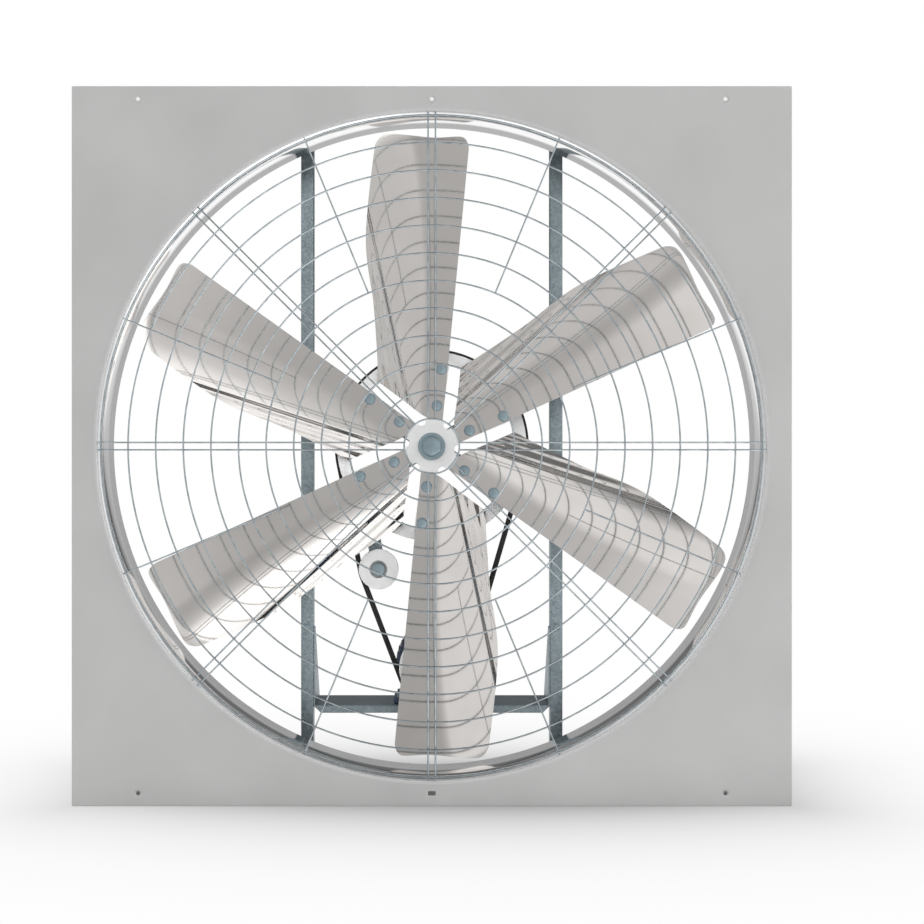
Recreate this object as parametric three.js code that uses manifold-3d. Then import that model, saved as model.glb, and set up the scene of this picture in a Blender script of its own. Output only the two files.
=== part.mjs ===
// A whole house fan: a square sheet-metal housing with a bell-mouthed front panel and a wire guard,
// a six-blade rotor bolted to a large belt pulley, and a motor on a shelf below that drives it by a V-belt.
// X runs to the right, Y runs back into the housing, Z runs up. Units are millimetres.
import * as THREE from "three";
import { mergeVertices } from "three/addons/utils/BufferGeometryUtils.js";
import Module from "manifold-3d";

const wasm = await Module();
wasm.setup();

// ---------------------------------------------------------------------------------------------
// Driving dimensions. Depths are measured back from the front face of the panel.
// ---------------------------------------------------------------------------------------------

const seat = 0.3; // air left between two pieces that touch

// Housing
const panelSide = 1380;
const housingDepth = 400;
const sheet = 2;
const panelFlange = 30;
const rearHem = 6;
const screwHoleRadius = 4;
const screwHoleSideInset = 127;
const screwHoleInset = 24.5;
const drainSlotWidth = 14;
const drainSlotHeight = 8;

// Bell mouth set into the panel
const throatMargin = 60; // from the throat to the panel's edge
const rollRadius = 17;
const throatDepth = 119;
const flatLap = 8; // ring of flat panel around the roll

// Inlet guard, welded from wires
const guardWire = 3.2;
const guardRings = 12;
const guardOverhang = 2.4; // outer ring's radius beyond the throat's
const guardStandoff = 9; // clear depth between the panel and the spokes
const guardWeld = 0.6; // depth by which rings and spokes are melted together
const guardFootReach = 8.5; // how far the paired spokes pass the outer ring
const spokePairs = 8;
const spokePairSpacing = 14.1;
const shortSpokeRing = 6; // ring where the single spokes start

// Rotor: blades, hub and the large pulley in one stack
const bladeCount = 6;
const bladePhase = 22.8; // degrees from +X to the first blade's bolt line, seen from the front
const padDepth = 118; // front face of the flat blade pads
const bladeSheet = 2;
const tipClearance = 4;
const bladeBoltRadii = [81, 154];
const bladeBoltShank = 5;
const bladeBoltFlats = 17;
const bladeBoltHead = 6.2;
const bladeBoltGrip = 18;
const bladeRootGap = 10; // from the pulley's hub to the blade's root

// Outline of a blade: u runs out along its bolt line, v across it towards the trailing edge. Sizes
// near the root are counted from the root's reach, and those near the tip from the tip's.
const bladeLead = 15; // the leading edge's root corner, outside the bolt line
const rootBowU = 1;
const rootBowV = 19;
const rootFlareU = 31;
const rootFlareV = 72;
const bladeRootU = 60; // where the root edge meets the trailing edge
const bladeRootV = 123;
const trailWaistU = 125;
const trailWaistV = 134;
const trailMiddleU = 214;
const trailMiddleV = 152;
const trailWideU = 345;
const trailWideV = 184;
const bladeTrailV = 188; // trailing edge at the tip
const tipLeadInset = 15;
const tipLeadV = 1.5;
const tipShoulderInset = 9.5;
const tipShoulderV = 22;
const tipMiddleInset = 18;
const tipMiddleV = 76;
const tipTrailInset = 20.5;
const tipTrailV = 160;
const tipCornerInset = 33.5;

// Pressed form of a blade
const flatAtRoot = 20; // width of the flat pad beside the bolt line
const flatAtTip = 105;
const flatPower = 2; // how late the pad widens towards the tip
const creaseAtRoot = 65; // v of the crease at the root
const creaseSlant = 0.35; // how fast that line moves outwards with u
const pressRadiusAtRoot = 190; // of the bend between the pad and the crease
const pressRadiusAtTip = 300;
const joggleDepth = 6; // small step in the sheet behind the crease
const joggleWidth = 8;
const flapSlopeAtRoot = 0.55; // slope of the flap behind the crease
const flapSlopeAtTip = 0.2;

const pulleyFlangeRadius = 191;
const pulleyWidth = 24;
const rimThickness = 25;
const rimLap = 12; // how far an arm reaches into the rim
const armWidth = 28;
const armThickness = 32; // depth of an arm near its bend
const armEndInset = 4; // from the rear faces of the hub and the rim
const hubLap = 10; // how far an arm reaches into the hub
const hubRadius = 45;
const hubFront = 112;
const hubLength = 25;

const capRadius = 52;
const capThickness = 5.7;
const capNotches = 6;
const capNotchRadius = 4.5;
const washerRadius = 27;
const washerThickness = 3.6;
const hubBoltFlats = 33;
const hubBoltHead = 12;
const hubBoltFlangeRadius = 20.5;
const hubBoltFlangeThickness = 3;
const hubBoltShank = 8;
const hubBoltLength = 30;

const shaftRadius = 15;
const shaftShoulder = 19;
const shoulderLength = 15;
const bearingOuterRadius = 31;
const bearingWidth = 16;
const bearingHousingRadius = 40;
const bearingInset = 5; // rear bearing's distance from the housing's rear face
const bearingLip = 2; // how far the housing reaches past the front bearing

// Belt drive
const beltPlane = 184; // depth of the belt's middle
const grooveFloorGap = 1.5;
const beltThickness = 10;
const beltWidth = 17;
const beltStandProud = 5; // belt's outer face beyond a pulley's flanges
const beltSideTaper = 0.32; // tangent of the half angle of the belt's sides
const grooveClearance = 0.5;
const motorPulleyFlangeRadius = 66;
const motorDrop = 447.7; // from the fan's axis down to the motor's
const idlerFlangeRadius = 40;
const idlerRimRadius = 31;
const idlerFlange = 2;
const idlerFlangeSlope = 1;
const idlerX = -107.4;
const idlerBelowPulley = 17.5; // between the flanges of the two pulleys, straight down

// Frame behind the rotor
const uprightSpread = 253.5; // from the middle of the fan to the middle of an upright
const uprightWidth = 25;
const uprightDepth = 40;
const uprightWall = 2.5;
const uprightBehindBelt = 21; // from the belt's plane back to the uprights
const carrierBehindUpright = 2;
const carrierDepth = 30;
const carrierArmWidth = 30;
const carrierRise = 140; // height of the arms' ends above and below the axis
const carrierFootHeight = 56;
const carrierFootThickness = 4;

// Motor shelf
const shelfDepth = 147;
const shelfThickness = 3;
const shelfLip = 15;
const earHeight = 160;
const earToe = 4;
const uprightBoltRise = 160;
const uprightBoltShank = 3;
const uprightBoltFlats = 10;
const uprightBoltHead = 5;
const uprightBoltReach = 6; // past the channel's wall

// Motor
const motorClearance = 6; // between the shelf and the fins
const motorRootRadius = 66;
const motorFinHeight = 8;
const motorFinTip = 7;
const motorFinFoot = 12;
const motorFins = 16;
const motorFrameLength = 124;
const motorBehindPulley = 10;
const motorBossProud = 2;
const motorBossStep = 4;
const shieldDome = 6;
const shieldBevel = 10;
const shieldThickness = 16;
const rearShieldThickness = 10;
const shieldRadius = 72;
const cowlLength = 50;
const cowlWall = 2;
const cowlBevel = 8;
const cowlSlots = 8;
const cowlSlotInset = 16; // from the axis and from the rim
const cowlSlotWidth = 6;
const statorBoreRadius = 38;
const rotorAirGap = 1;
const rotorCoreLength = 96;
const motorShaftRadius = 9.5;
const motorBossRadius = 22;
const footBoltShank = 5;
const footBoltFlats = 16;
const footBoltHead = 6;
const footBoltReach = 13; // past the foot
const footThickness = 10;
const footHalfSpread = 64;
const footBoltSpacing = 70;
const footWidth = 36;
const footOverhang = 14; // outwards past the bolt
const footWeb = 10;
const footWebInset = 22; // from the frame's root radius
const motorFanBlades = 7;
const motorFanGap = 10; // inside the cowl
const motorFanHub = 6;
const motorFanDisc = 2.5;
const motorFanVane = 2.5;
const motorFanStep = 6; // behind the rear shield
const motorFanDiscInset = 14;
const terminalBoxWidth = 78;
const terminalBoxDepth = 72;
const terminalBoxHeight = 36;
const terminalWall = 3;
const terminalPadRise = 10; // pad above the motor's root radius
const terminalPadRoot = 20; // pad below it
const terminalPadInset = 7;
const lidThickness = 6;
const lidOverhang = 1.5;
const lidLip = 3;
const lidLipGap = 1;
const glandCollarRadius = 11;
const glandCollarLength = 11;
const glandDomeRadius = 8.5;
const glandDomeLength = 13;
const glandNeckRadius = 7.5;
const glandNeckReach = 3; // inside the box
const glandBore = 5;

// Belt tensioner
const pivotReach = 158.6; // from the fan's axis, along the lower left carrier arm
const tensionerPlate = 5;
const tensionerWidth = 28;
const tensionerGap = 0.5; // air between the arm and the carrier's face around the pivot's boss
const pivotShank = 6;
const pivotFlats = 18;
const pivotHead = 7;
const pivotBossWall = 3;
const idlerBearingOuter = 17.5;
const idlerBearingWidth = 12;
const idlerShank = 7.5;
const idlerBoltHeadRadius = 13;
const idlerBoltHead = 6;
const idlerSpacerRadius = 11;
const springBelowPivot = 90.2;
const springBehindBelt = 15; // from the belt's plane back to the spring's axis
const springWire = 2;
const springCoilRadius = 6;
const springCurls = 8;
const springCurlSteps = 8;
const springCoilLength = 44;
const springPostLeg = 12; // straight wire between the upright and the coil
const springBend = 4;
const springTab = 4;
const springTabHeight = 14;
const springTabEdge = 6.5; // tab in front of the spring's axis
const springHolePast = 2; // straight wire past a tab

// Facets around round pieces
const fineSides = 48;
const pulleySides = 36;
const shaftSides = 20;
const smallSides = 8;
const innerRingSides = 14;
const springSides = 5;
const curveSegments = 6;
const bladeRows = 8;
const bladeColumns = 9;

// Values worked out from the driving dimensions
const half = panelSide / 2;
const axisHeight = panelSide / 2;
const throatRadius = half - throatMargin;
const rollOuterRadius = throatRadius + rollRadius;
const mouthRadius = rollOuterRadius + flatLap;
const ringPitch = (throatRadius + guardOverhang) / guardRings;
const spokeDepth = -guardStandoff - guardWire / 2;
const ringDepth = spokeDepth - guardWire + guardWeld;
const guardFront = ringDepth - guardWire / 2;
const middleDepth = (housingDepth + guardFront) / 2;
const bladeReach = throatRadius - tipClearance;
const bladeRootReach = hubRadius + bladeRootGap;
const armFront = padDepth + bladeSheet + seat;
const pulleyFront = beltPlane - pulleyWidth / 2;
const pulleyRear = beltPlane + pulleyWidth / 2;
const rimInnerRadius = pulleyFlangeRadius - rimThickness;
const hubRear = hubFront + hubLength;
const uprightFront = beltPlane + uprightBehindBelt;
const carrierFront = uprightFront + carrierBehindUpright;
const carrierRear = carrierFront + carrierDepth;
const frontBearingDepth = hubRear + shoulderLength;
const rearBearingDepth = carrierRear - bearingWidth - bearingInset;
const uprightInner = uprightSpread - uprightWidth / 2;
const motorHeight = axisHeight - motorDrop;
const motorFinRadius = motorRootRadius + motorFinHeight;
const motorShaftHeight = motorFinRadius + motorClearance;
const shelfTop = motorHeight - motorShaftHeight;
const motorFront = pulleyRear + motorBehindPulley;
const frameFront = motorFront + shieldThickness + seat;
const frameRear = frameFront + motorFrameLength;
const cowlRear = frameRear + seat + cowlLength;
const carrierEnd = uprightInner - seat;
const carrierLean = Math.atan2(carrierRise, carrierEnd);
const pivotX = -pivotReach * Math.cos(carrierLean);
const pivotZ = -pivotReach * Math.sin(carrierLean);
const springZ = pivotZ - springBelowPivot;
const idlerZ = -pulleyFlangeRadius - idlerBelowPulley - idlerFlangeRadius;
const idlerWidth = beltWidth + 2 * (grooveClearance + idlerFlange);
const springAxisDepth = beltPlane + springBehindBelt;
const tensionerRear = carrierFront - tensionerGap;
const tensionerFront = tensionerRear - tensionerPlate;

const degrees = (angle) => (angle * Math.PI) / 180;

// ---------------------------------------------------------------------------------------------
// Finishes
// ---------------------------------------------------------------------------------------------

const finish = (color, roughness, metalness) => ({ color, roughness, metalness, flatShading: true });
const finishes = {
  panelSteel: finish(0xb9b8b6, 0.45, 0.6),
  galvanised: finish(0x84959c, 0.5, 0.8),
  stainless: finish(0xc4beb6, 0.18, 1.0),
  wire: finish(0xa9b2b8, 0.3, 0.9),
  castPulley: finish(0xd2d2ce, 0.45, 0.5),
  fastener: finish(0x74838f, 0.35, 0.9),
  bearing: finish(0x8f9499, 0.25, 1.0),
  rubber: finish(0x161616, 0.8, 0.0),
  motorBlue: finish(0x1f3350, 0.45, 0.2),
  blackPlastic: finish(0x1c1e20, 0.6, 0.0),
};

// ---------------------------------------------------------------------------------------------
// Shape helpers
// ---------------------------------------------------------------------------------------------

// A closed geometry as a solid that can be joined and cut.
function solidOf(geometry) {
  const bare = geometry.index ? geometry.toNonIndexed() : geometry.clone();
  bare.deleteAttribute("normal");
  bare.deleteAttribute("uv");
  const merged = mergeVertices(bare, 1e-3);
  const vertProperties = new Float32Array(merged.attributes.position.array);
  const triVerts = new Uint32Array(merged.index.array);
  return new wasm.Manifold(new wasm.Mesh({ numProp: 3, vertProperties, triVerts }));
}

function geometryOf(solid) {
  const { vertProperties, triVerts } = solid.getMesh();
  const geometry = new THREE.BufferGeometry();
  geometry.setAttribute("position", new THREE.BufferAttribute(new Float32Array(vertProperties), 3));
  geometry.setIndex(new THREE.BufferAttribute(new Uint32Array(triVerts), 1));
  geometry.computeVertexNormals();
  return geometry;
}

const joined = (...pieces) => geometryOf(pieces.map(solidOf).reduce((all, piece) => all.add(piece)));

const cut = (piece, ...tools) =>
  geometryOf(tools.map(solidOf).reduce((rest, tool) => rest.subtract(tool), solidOf(piece)));

// A box between two corners.
function block([x0, x1], [y0, y1], [z0, z1]) {
  const box = new THREE.BoxGeometry(x1 - x0, y1 - y0, z1 - z0);
  return box.translate((x0 + x1) / 2, (y0 + y1) / 2, (z0 + z1) / 2);
}

// A round or many-sided bar that runs back along Y.
function bar(radius, [front, rear], sides = shaftSides, x = 0, z = 0) {
  const geometry = new THREE.CylinderGeometry(radius, radius, rear - front, sides);
  return geometry.translate(x, (front + rear) / 2, z);
}

// The same along X, and along Z.
function sidewaysRod(radius, [left, right], depth, z, sides = smallSides) {
  const rod = new THREE.CylinderGeometry(radius, radius, right - left, sides);
  return rod.rotateZ(Math.PI / 2).translate((left + right) / 2, depth, z);
}

function uprightRod(radius, [bottom, top], x = 0, depth = 0, sides = smallSides) {
  const rod = new THREE.CylinderGeometry(radius, radius, top - bottom, sides);
  return rod.rotateX(Math.PI / 2).translate(x, depth, (bottom + top) / 2);
}

// A hexagon head is drawn by its width across the flats.
const hexBar = (flats, span, x = 0, z = 0) => bar(flats / 2 / Math.cos(Math.PI / 6), span, 6, x, z);

// Radius whose facets clear a round piece of the given radius by the seat.
const boreFor = (radius, sides = shaftSides) => (radius + seat) / Math.cos(Math.PI / sides);

const holeFor = (radius, span, sides = shaftSides, x = 0, z = 0) =>
  bar(boreFor(radius, sides), span, sides, x, z);

// A solid of revolution about Y. The profile is a list of [radius, depth] points that starts and
// ends on the axis, or else a loop.
function turned(profile, sides = pulleySides) {
  const points = profile.map(([radius, depth]) => new THREE.Vector2(radius, depth));
  if (THREE.ShapeUtils.area(points) < 0) points.reverse();
  const loop = points[0].x === 0 ? points : [...points, points[0]];
  return new THREE.LatheGeometry(loop, sides);
}

const shapeOf = (corners) => new THREE.Shape(corners.map(([across, up]) => new THREE.Vector2(across, up)));

// A shape in X and Z, given front to back as a plate.
function shapedPlate(shape, [front, rear]) {
  const geometry = new THREE.ExtrudeGeometry(shape, { depth: rear - front, bevelEnabled: false, curveSegments });
  return geometry.rotateX(Math.PI / 2).translate(0, rear, 0);
}

const plate = (corners, span) => shapedPlate(shapeOf(corners), span);

// An outline in X and Y, raised along Z.
function column(outline, [bottom, top]) {
  const geometry = new THREE.ExtrudeGeometry(shapeOf(outline), { depth: top - bottom, bevelEnabled: false });
  return geometry.translate(0, 0, bottom);
}

// Turns a geometry about the depth axis, counted from +X towards +Z.
const swung = (geometry, angle) => geometry.clone().rotateY(-angle);

const evenly = (count, make) => Array.from({ length: count }, (_, index) => make(index));

function piece(name, geometry, look) {
  const mesh = new THREE.Mesh(geometry, new THREE.MeshStandardMaterial(look));
  mesh.name = name;
  return mesh;
}

function group(position, ...members) {
  const made = new THREE.Group();
  made.position.set(...position);
  made.add(...members.flat());
  return made;
}

// ---------------------------------------------------------------------------------------------
// Housing
// ---------------------------------------------------------------------------------------------

// Depth of the bell mouth's front surface at a radius on its rolled lip.
function lipDepth(radius) {
  const inwards = THREE.MathUtils.clamp(rollOuterRadius - radius, 0, rollRadius);
  return rollRadius - Math.sqrt(rollRadius ** 2 - inwards ** 2);
}

// A flat rim flush with the panel, a quarter roll, and the throat behind it.
function bellMouth() {
  const steps = 3;
  const arc = (radius) =>
    evenly(steps + 1, (index) => {
      const turn = (index / steps) * (Math.PI / 2);
      return [rollOuterRadius - radius * Math.sin(turn), rollRadius - radius * Math.cos(turn)];
    });
  const front = [[mouthRadius, 0], ...arc(rollRadius), [throatRadius, throatDepth]];
  const back = [[mouthRadius, sheet], ...arc(rollRadius - sheet), [throatRadius + sheet, throatDepth]];
  return turned([...front, ...back.reverse()], fineSides);
}

function frontPanel() {
  const span = [-half, half];
  const face = block(span, [0, sheet], [0, panelSide]);
  const through = [-sheet, 2 * sheet];
  const inset = sheet + seat;
  const outer = block([-half + inset, half - inset], [sheet / 2, panelFlange], [inset, panelSide - inset]);
  const room = inset + sheet;
  const hollow = block([-half + room, half - room], [0, panelFlange + sheet], [room, panelSide - room]);
  const mouth = bar(mouthRadius + seat, through, fineSides, 0, axisHeight);
  const spread = half - screwHoleSideInset;
  const holes = [-spread, 0, spread].flatMap((x) =>
    [screwHoleInset, panelSide - screwHoleInset]
      .filter((z) => x !== 0 || z > axisHeight)
      .map((z) => bar(screwHoleRadius, through, smallSides, x, z)),
  );
  const slotSpan = [-drainSlotWidth / 2, drainSlotWidth / 2];
  const slotRise = [screwHoleInset - drainSlotHeight / 2, screwHoleInset + drainSlotHeight / 2];
  const slot = block(slotSpan, through, slotRise);
  return joined(cut(face, mouth, slot, ...holes), cut(outer, hollow));
}

function sideWall() {
  const wall = block([-half, -half + sheet], [sheet + seat, housingDepth], [0, panelSide]);
  const hem = block([-half, -half + rearHem], [housingDepth - sheet, housingDepth], [0, panelSide]);
  return joined(wall, hem);
}

// The bottom or top wall fits between the side walls, and its hem laps theirs from inside.
function flatWall() {
  const reach = half - sheet - seat;
  const hemReach = half - rearHem - seat;
  const wall = block([-reach, reach], [sheet + seat, housingDepth - sheet - seat], [0, sheet]);
  const hem = block([-hemReach, hemReach], [housingDepth - 2 * sheet, housingDepth], [0, rearHem]);
  return joined(wall, hem);
}

// A mirrored geometry has its faces turned inwards, so each triangle is wound the other way.
function mirrored(geometry, x, z) {
  const made = geometry.clone().scale(x, 1, z);
  const order = made.index.array;
  for (let corner = 0; corner < order.length; corner += 3) {
    [order[corner + 1], order[corner + 2]] = [order[corner + 2], order[corner + 1]];
  }
  made.computeVertexNormals();
  return made;
}

function housingWalls() {
  return [
    piece("housing_left", sideWall(), finishes.galvanised),
    piece("housing_right", mirrored(sideWall(), -1, 1), finishes.galvanised),
    piece("housing_bottom", flatWall(), finishes.galvanised),
    piece("housing_top", mirrored(flatWall(), 1, -1).translate(0, 0, panelSide), finishes.galvanised),
  ];
}

// ---------------------------------------------------------------------------------------------
// Inlet guard
// ---------------------------------------------------------------------------------------------

// Wires are drawn three-sided, edge to edge, so that each weld stays a small one.
function guardRing(radius, sides) {
  const thick = guardWire / 2;
  const corners = [
    [radius, ringDepth + thick],
    [radius + thick, ringDepth - thick],
    [radius - thick, ringDepth - thick],
  ];
  return turned(corners, sides);
}

function guardSpoke(start, end, sideways, angle) {
  const thick = guardWire / 2;
  const corners = [
    [sideways, spokeDepth - thick],
    [sideways + thick, spokeDepth + thick],
    [sideways - thick, spokeDepth + thick],
  ];
  const section = shapeOf(corners.map(([across, depth]) => [-across, depth]));
  const rod = new THREE.ExtrudeGeometry(section, { depth: end - start, bevelEnabled: false });
  return swung(rod.rotateY(Math.PI / 2).translate(start, 0, 0), angle);
}

// The outer end of a paired spoke turns back and stops on the panel's lip.
function guardFoot(end, sideways, angle) {
  const thick = guardWire / 2;
  const landing = lipDepth(end) - seat;
  const rod = block([end - guardWire, end], [spokeDepth, landing], [sideways - thick / 2, sideways + thick / 2]);
  return swung(rod, angle);
}

function inletGuard() {
  const rings = evenly(guardRings, (index) => guardRing(ringPitch * (index + 1), innerRingSides + 2 * index));
  const outerRadius = ringPitch * guardRings + guardWire / 2;
  const footEnd = ringPitch * guardRings + guardFootReach;
  const spokes = evenly(spokePairs, (index) => degrees((360 / spokePairs) * index)).flatMap((angle) =>
    [-spokePairSpacing / 2, spokePairSpacing / 2].flatMap((sideways) => [
      guardSpoke(ringPitch - guardWire / 2, footEnd, sideways, angle),
      guardFoot(footEnd, sideways, angle),
    ]),
  );
  const shortSpokes = evenly(spokePairs, (index) =>
    guardSpoke(ringPitch * shortSpokeRing, outerRadius, 0, degrees((360 / spokePairs) * (index + 0.5))),
  );
  return joined(...rings, ...spokes, ...shortSpokes);
}

// ---------------------------------------------------------------------------------------------
// Rotor
// ---------------------------------------------------------------------------------------------

// How far the pressed blade lies behind its flat pad.
function pressedDepth(u, v) {
  const { lerp, inverseLerp, smoothstep } = THREE.MathUtils;
  const outwards = Math.max(0, inverseLerp(bladeRootReach, bladeReach, u));
  const flat = lerp(flatAtRoot, flatAtTip, outwards ** flatPower);
  const crease = Math.min(creaseAtRoot + creaseSlant * (u - trailRoot[0]), bladeTrailV);
  const bent = Math.max(0, Math.min(v, crease) - flat);
  const radius = lerp(pressRadiusAtRoot, pressRadiusAtTip, outwards);
  const behind = Math.max(0, v - crease);
  const joggle = joggleDepth * smoothstep(behind, 0, joggleWidth);
  const flap = lerp(flapSlopeAtRoot, flapSlopeAtTip, outwards) * behind;
  return bent ** 2 / (2 * radius) + joggle + flap;
}

const smoothEdge = (...points) => new THREE.SplineCurve(points.map(([u, v]) => new THREE.Vector2(u, v)));

const fromRoot = (u, v) => [bladeRootReach + u, v];
const fromTip = (inset, v) => [bladeReach - inset, v];
const leadRoot = fromRoot(0, -bladeLead);
const leadTip = fromTip(tipLeadInset, tipLeadV);
const trailRoot = fromRoot(bladeRootU, bladeRootV);
const trailTip = fromTip(tipCornerInset, bladeTrailV);
const bladeEdges = {
  lead: smoothEdge(leadRoot, leadTip),
  trail: smoothEdge(
    trailRoot,
    fromRoot(trailWaistU, trailWaistV),
    fromRoot(trailMiddleU, trailMiddleV),
    fromRoot(trailWideU, trailWideV),
    trailTip,
  ),
  root: smoothEdge(leadRoot, fromRoot(rootBowU, rootBowV), fromRoot(rootFlareU, rootFlareV), trailRoot),
  tip: smoothEdge(
    leadTip,
    fromTip(tipShoulderInset, tipShoulderV),
    fromTip(tipMiddleInset, tipMiddleV),
    fromTip(tipTrailInset, tipTrailV),
    trailTip,
  ),
};

// A point inside the four edges, blended from all of them.
function outlinePoint(along, across) {
  const { lead, trail, root, tip } = bladeEdges;
  const sides = lead.getPointAt(along).lerp(trail.getPointAt(along), across);
  const ends = root.getPointAt(across).lerp(tip.getPointAt(across), along);
  const innerCorners = root.getPointAt(0).lerp(root.getPointAt(1), across);
  const outerCorners = tip.getPointAt(0).lerp(tip.getPointAt(1), across);
  return sides.add(ends).sub(innerCorners.lerp(outerCorners, along));
}

function bladeSkin(along, across) {
  const { x: u, y: v } = outlinePoint(along, across);
  const step = 1;
  const slopeU = (pressedDepth(u + step, v) - pressedDepth(u - step, v)) / (2 * step);
  const slopeV = (pressedDepth(u, v + step) - pressedDepth(u, v - step)) / (2 * step);
  const front = new THREE.Vector3(u, padDepth + pressedDepth(u, v), v);
  const backwards = new THREE.Vector3(-slopeU, 1, -slopeV).normalize();
  return { front, rear: front.clone().addScaledVector(backwards, bladeSheet) };
}

function bladeGeometry() {
  const rows = bladeRows;
  const columns = bladeColumns;
  const skinRow = (row) => evenly(columns + 1, (column) => bladeSkin(row / rows, column / columns));
  const skin = evenly(rows + 1, skinRow);
  const corners = [...skin.flat().map((point) => point.front), ...skin.flat().map((point) => point.rear)];
  const rearStart = (rows + 1) * (columns + 1);
  const at = (row, column) => row * (columns + 1) + column;
  const faces = [];
  const quad = (a, b, c, d) => faces.push(a, b, c, a, c, d);
  for (let row = 0; row < rows; row++) {
    for (let column = 0; column < columns; column++) {
      const ring = [at(row, column), at(row + 1, column), at(row + 1, column + 1), at(row, column + 1)];
      quad(...ring);
      quad(...ring.map((corner) => corner + rearStart).reverse());
    }
  }
  const rim = [
    ...evenly(rows, (row) => at(row, 0)),
    ...evenly(columns, (column) => at(rows, column)),
    ...evenly(rows, (row) => at(rows - row, columns)),
    ...evenly(columns, (column) => at(0, columns - column)),
  ];
  rim.forEach((corner, index) => {
    const next = rim[(index + 1) % rim.length];
    quad(corner, corner + rearStart, next + rearStart, next);
  });
  const geometry = new THREE.BufferGeometry().setFromPoints(corners);
  geometry.setIndex(faces);
  const span = [padDepth - bladeSheet, armFront + bladeSheet];
  const holes = bladeBoltRadii.map((radius) => holeFor(bladeBoltShank, span, smallSides, radius));
  return cut(geometry, ...holes);
}

function bladeBolt() {
  const head = hexBar(bladeBoltFlats, [padDepth - seat - bladeBoltHead, padDepth - seat]);
  return joined(head, bar(bladeBoltShank, [padDepth - 2 * seat, padDepth + bladeBoltGrip], smallSides));
}

// Grooved rim of a belt pulley: flanges, a groove whose sides follow the belt, and a given inner radius.
function groovedProfile(flangeRadius, width, innerRadius) {
  const bottom = flangeRadius + beltStandProud - beltThickness - grooveFloorGap;
  const mouth = beltWidth / 2 - beltStandProud * beltSideTaper + grooveClearance;
  const floor = mouth - (flangeRadius - bottom) * beltSideTaper;
  const near = beltPlane - width / 2;
  const far = beltPlane + width / 2;
  return [
    [innerRadius, near],
    [flangeRadius, near],
    [flangeRadius, beltPlane - mouth],
    [bottom, beltPlane - floor],
    [bottom, beltPlane + floor],
    [flangeRadius, beltPlane + mouth],
    [flangeRadius, far],
    [innerRadius, far],
  ];
}

function drivePulley() {
  const rim = turned(groovedProfile(pulleyFlangeRadius, pulleyWidth, rimInnerRadius), pulleySides);
  const hub = bar(hubRadius, [hubFront, hubRear], shaftSides);
  const inner = hubRadius - hubLap;
  const outer = rimInnerRadius + rimLap;
  const armProfile = [
    [inner, armFront],
    [rimInnerRadius, armFront],
    [outer, pulleyFront + armEndInset],
    [outer, pulleyRear - armEndInset],
    [rimInnerRadius - armEndInset, pulleyRear - armEndInset],
    [rimInnerRadius - armThickness / 2, armFront + armThickness],
    [inner, hubRear - armEndInset],
  ];
  const arm = column(armProfile, [-armWidth / 2, armWidth / 2]);
  const boltSpan = [armFront - 1, padDepth + bladeBoltGrip + seat];
  const arms = evenly(bladeCount, (index) => swung(arm, degrees((360 / bladeCount) * index)));
  const boltHoles = evenly(bladeCount, (index) => degrees((360 / bladeCount) * index)).flatMap((angle) =>
    bladeBoltRadii.map((radius) => swung(holeFor(bladeBoltShank, boltSpan, smallSides, radius), angle)),
  );
  const shaftHole = holeFor(shaftRadius, [hubFront - 1, hubRear + 1]);
  return cut(joined(rim, hub, ...arms), shaftHole, ...boltHoles);
}

const capRear = hubFront - seat;
const capFront = capRear - capThickness;
const washerRear = capFront - seat;
const washerFront = washerRear - washerThickness;

function hubCap() {
  const disc = bar(capRadius, [capFront, capRear], shaftSides);
  const notches = evenly(capNotches, (index) => {
    const angle = degrees((360 / capNotches) * (index + 0.5));
    return swung(bar(capNotchRadius, [capFront - 1, capRear + 1], smallSides, capRadius), angle);
  });
  return cut(disc, holeFor(hubBoltShank, [capFront - 1, capRear + 1]), ...notches);
}

function hubWasher() {
  return cut(
    bar(washerRadius, [washerFront, washerRear], shaftSides),
    holeFor(hubBoltShank, [washerFront - 1, washerRear + 1]),
  );
}

function hubBolt() {
  const flangeRear = washerFront - seat;
  const flangeFront = flangeRear - hubBoltFlangeThickness;
  const flange = bar(hubBoltFlangeRadius, [flangeFront, flangeRear]);
  const head = hexBar(hubBoltFlats, [flangeFront - hubBoltHead, flangeFront + 1]);
  return joined(flange, head, bar(hubBoltShank, [flangeRear - 1, flangeRear + hubBoltLength]));
}

function fanShaft() {
  const boltEnd = washerFront - seat + hubBoltLength + seat;
  const core = bar(shaftRadius, [hubFront, carrierRear]);
  const shoulder = bar(shaftShoulder, [hubRear + seat, frontBearingDepth - seat]);
  return cut(joined(core, shoulder), holeFor(hubBoltShank, [hubFront - 1, boltEnd]));
}

function bearing(outer, boreRadius, [front, rear]) {
  return cut(bar(outer, [front, rear]), holeFor(boreRadius, [front - 1, rear + 1]));
}

// ---------------------------------------------------------------------------------------------
// Belt
// ---------------------------------------------------------------------------------------------

const beltRun = (flangeRadius) => flangeRadius + beltStandProud - beltThickness;
const beltWheels = [
  { x: 0, z: 0, radius: beltRun(pulleyFlangeRadius) },
  { x: idlerX, z: idlerZ, radius: idlerRimRadius + 2 * seat },
  { x: 0, z: -motorDrop, radius: beltRun(motorPulleyFlangeRadius) },
];

// Direction of the straight run that leaves one wheel and lands on the next, both on its left.
function runDirection(from, to) {
  const line = Math.atan2(to.z - from.z, to.x - from.x);
  const distance = Math.hypot(to.x - from.x, to.z - from.z);
  return line + Math.asin((from.radius - to.radius) / distance);
}

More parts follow.
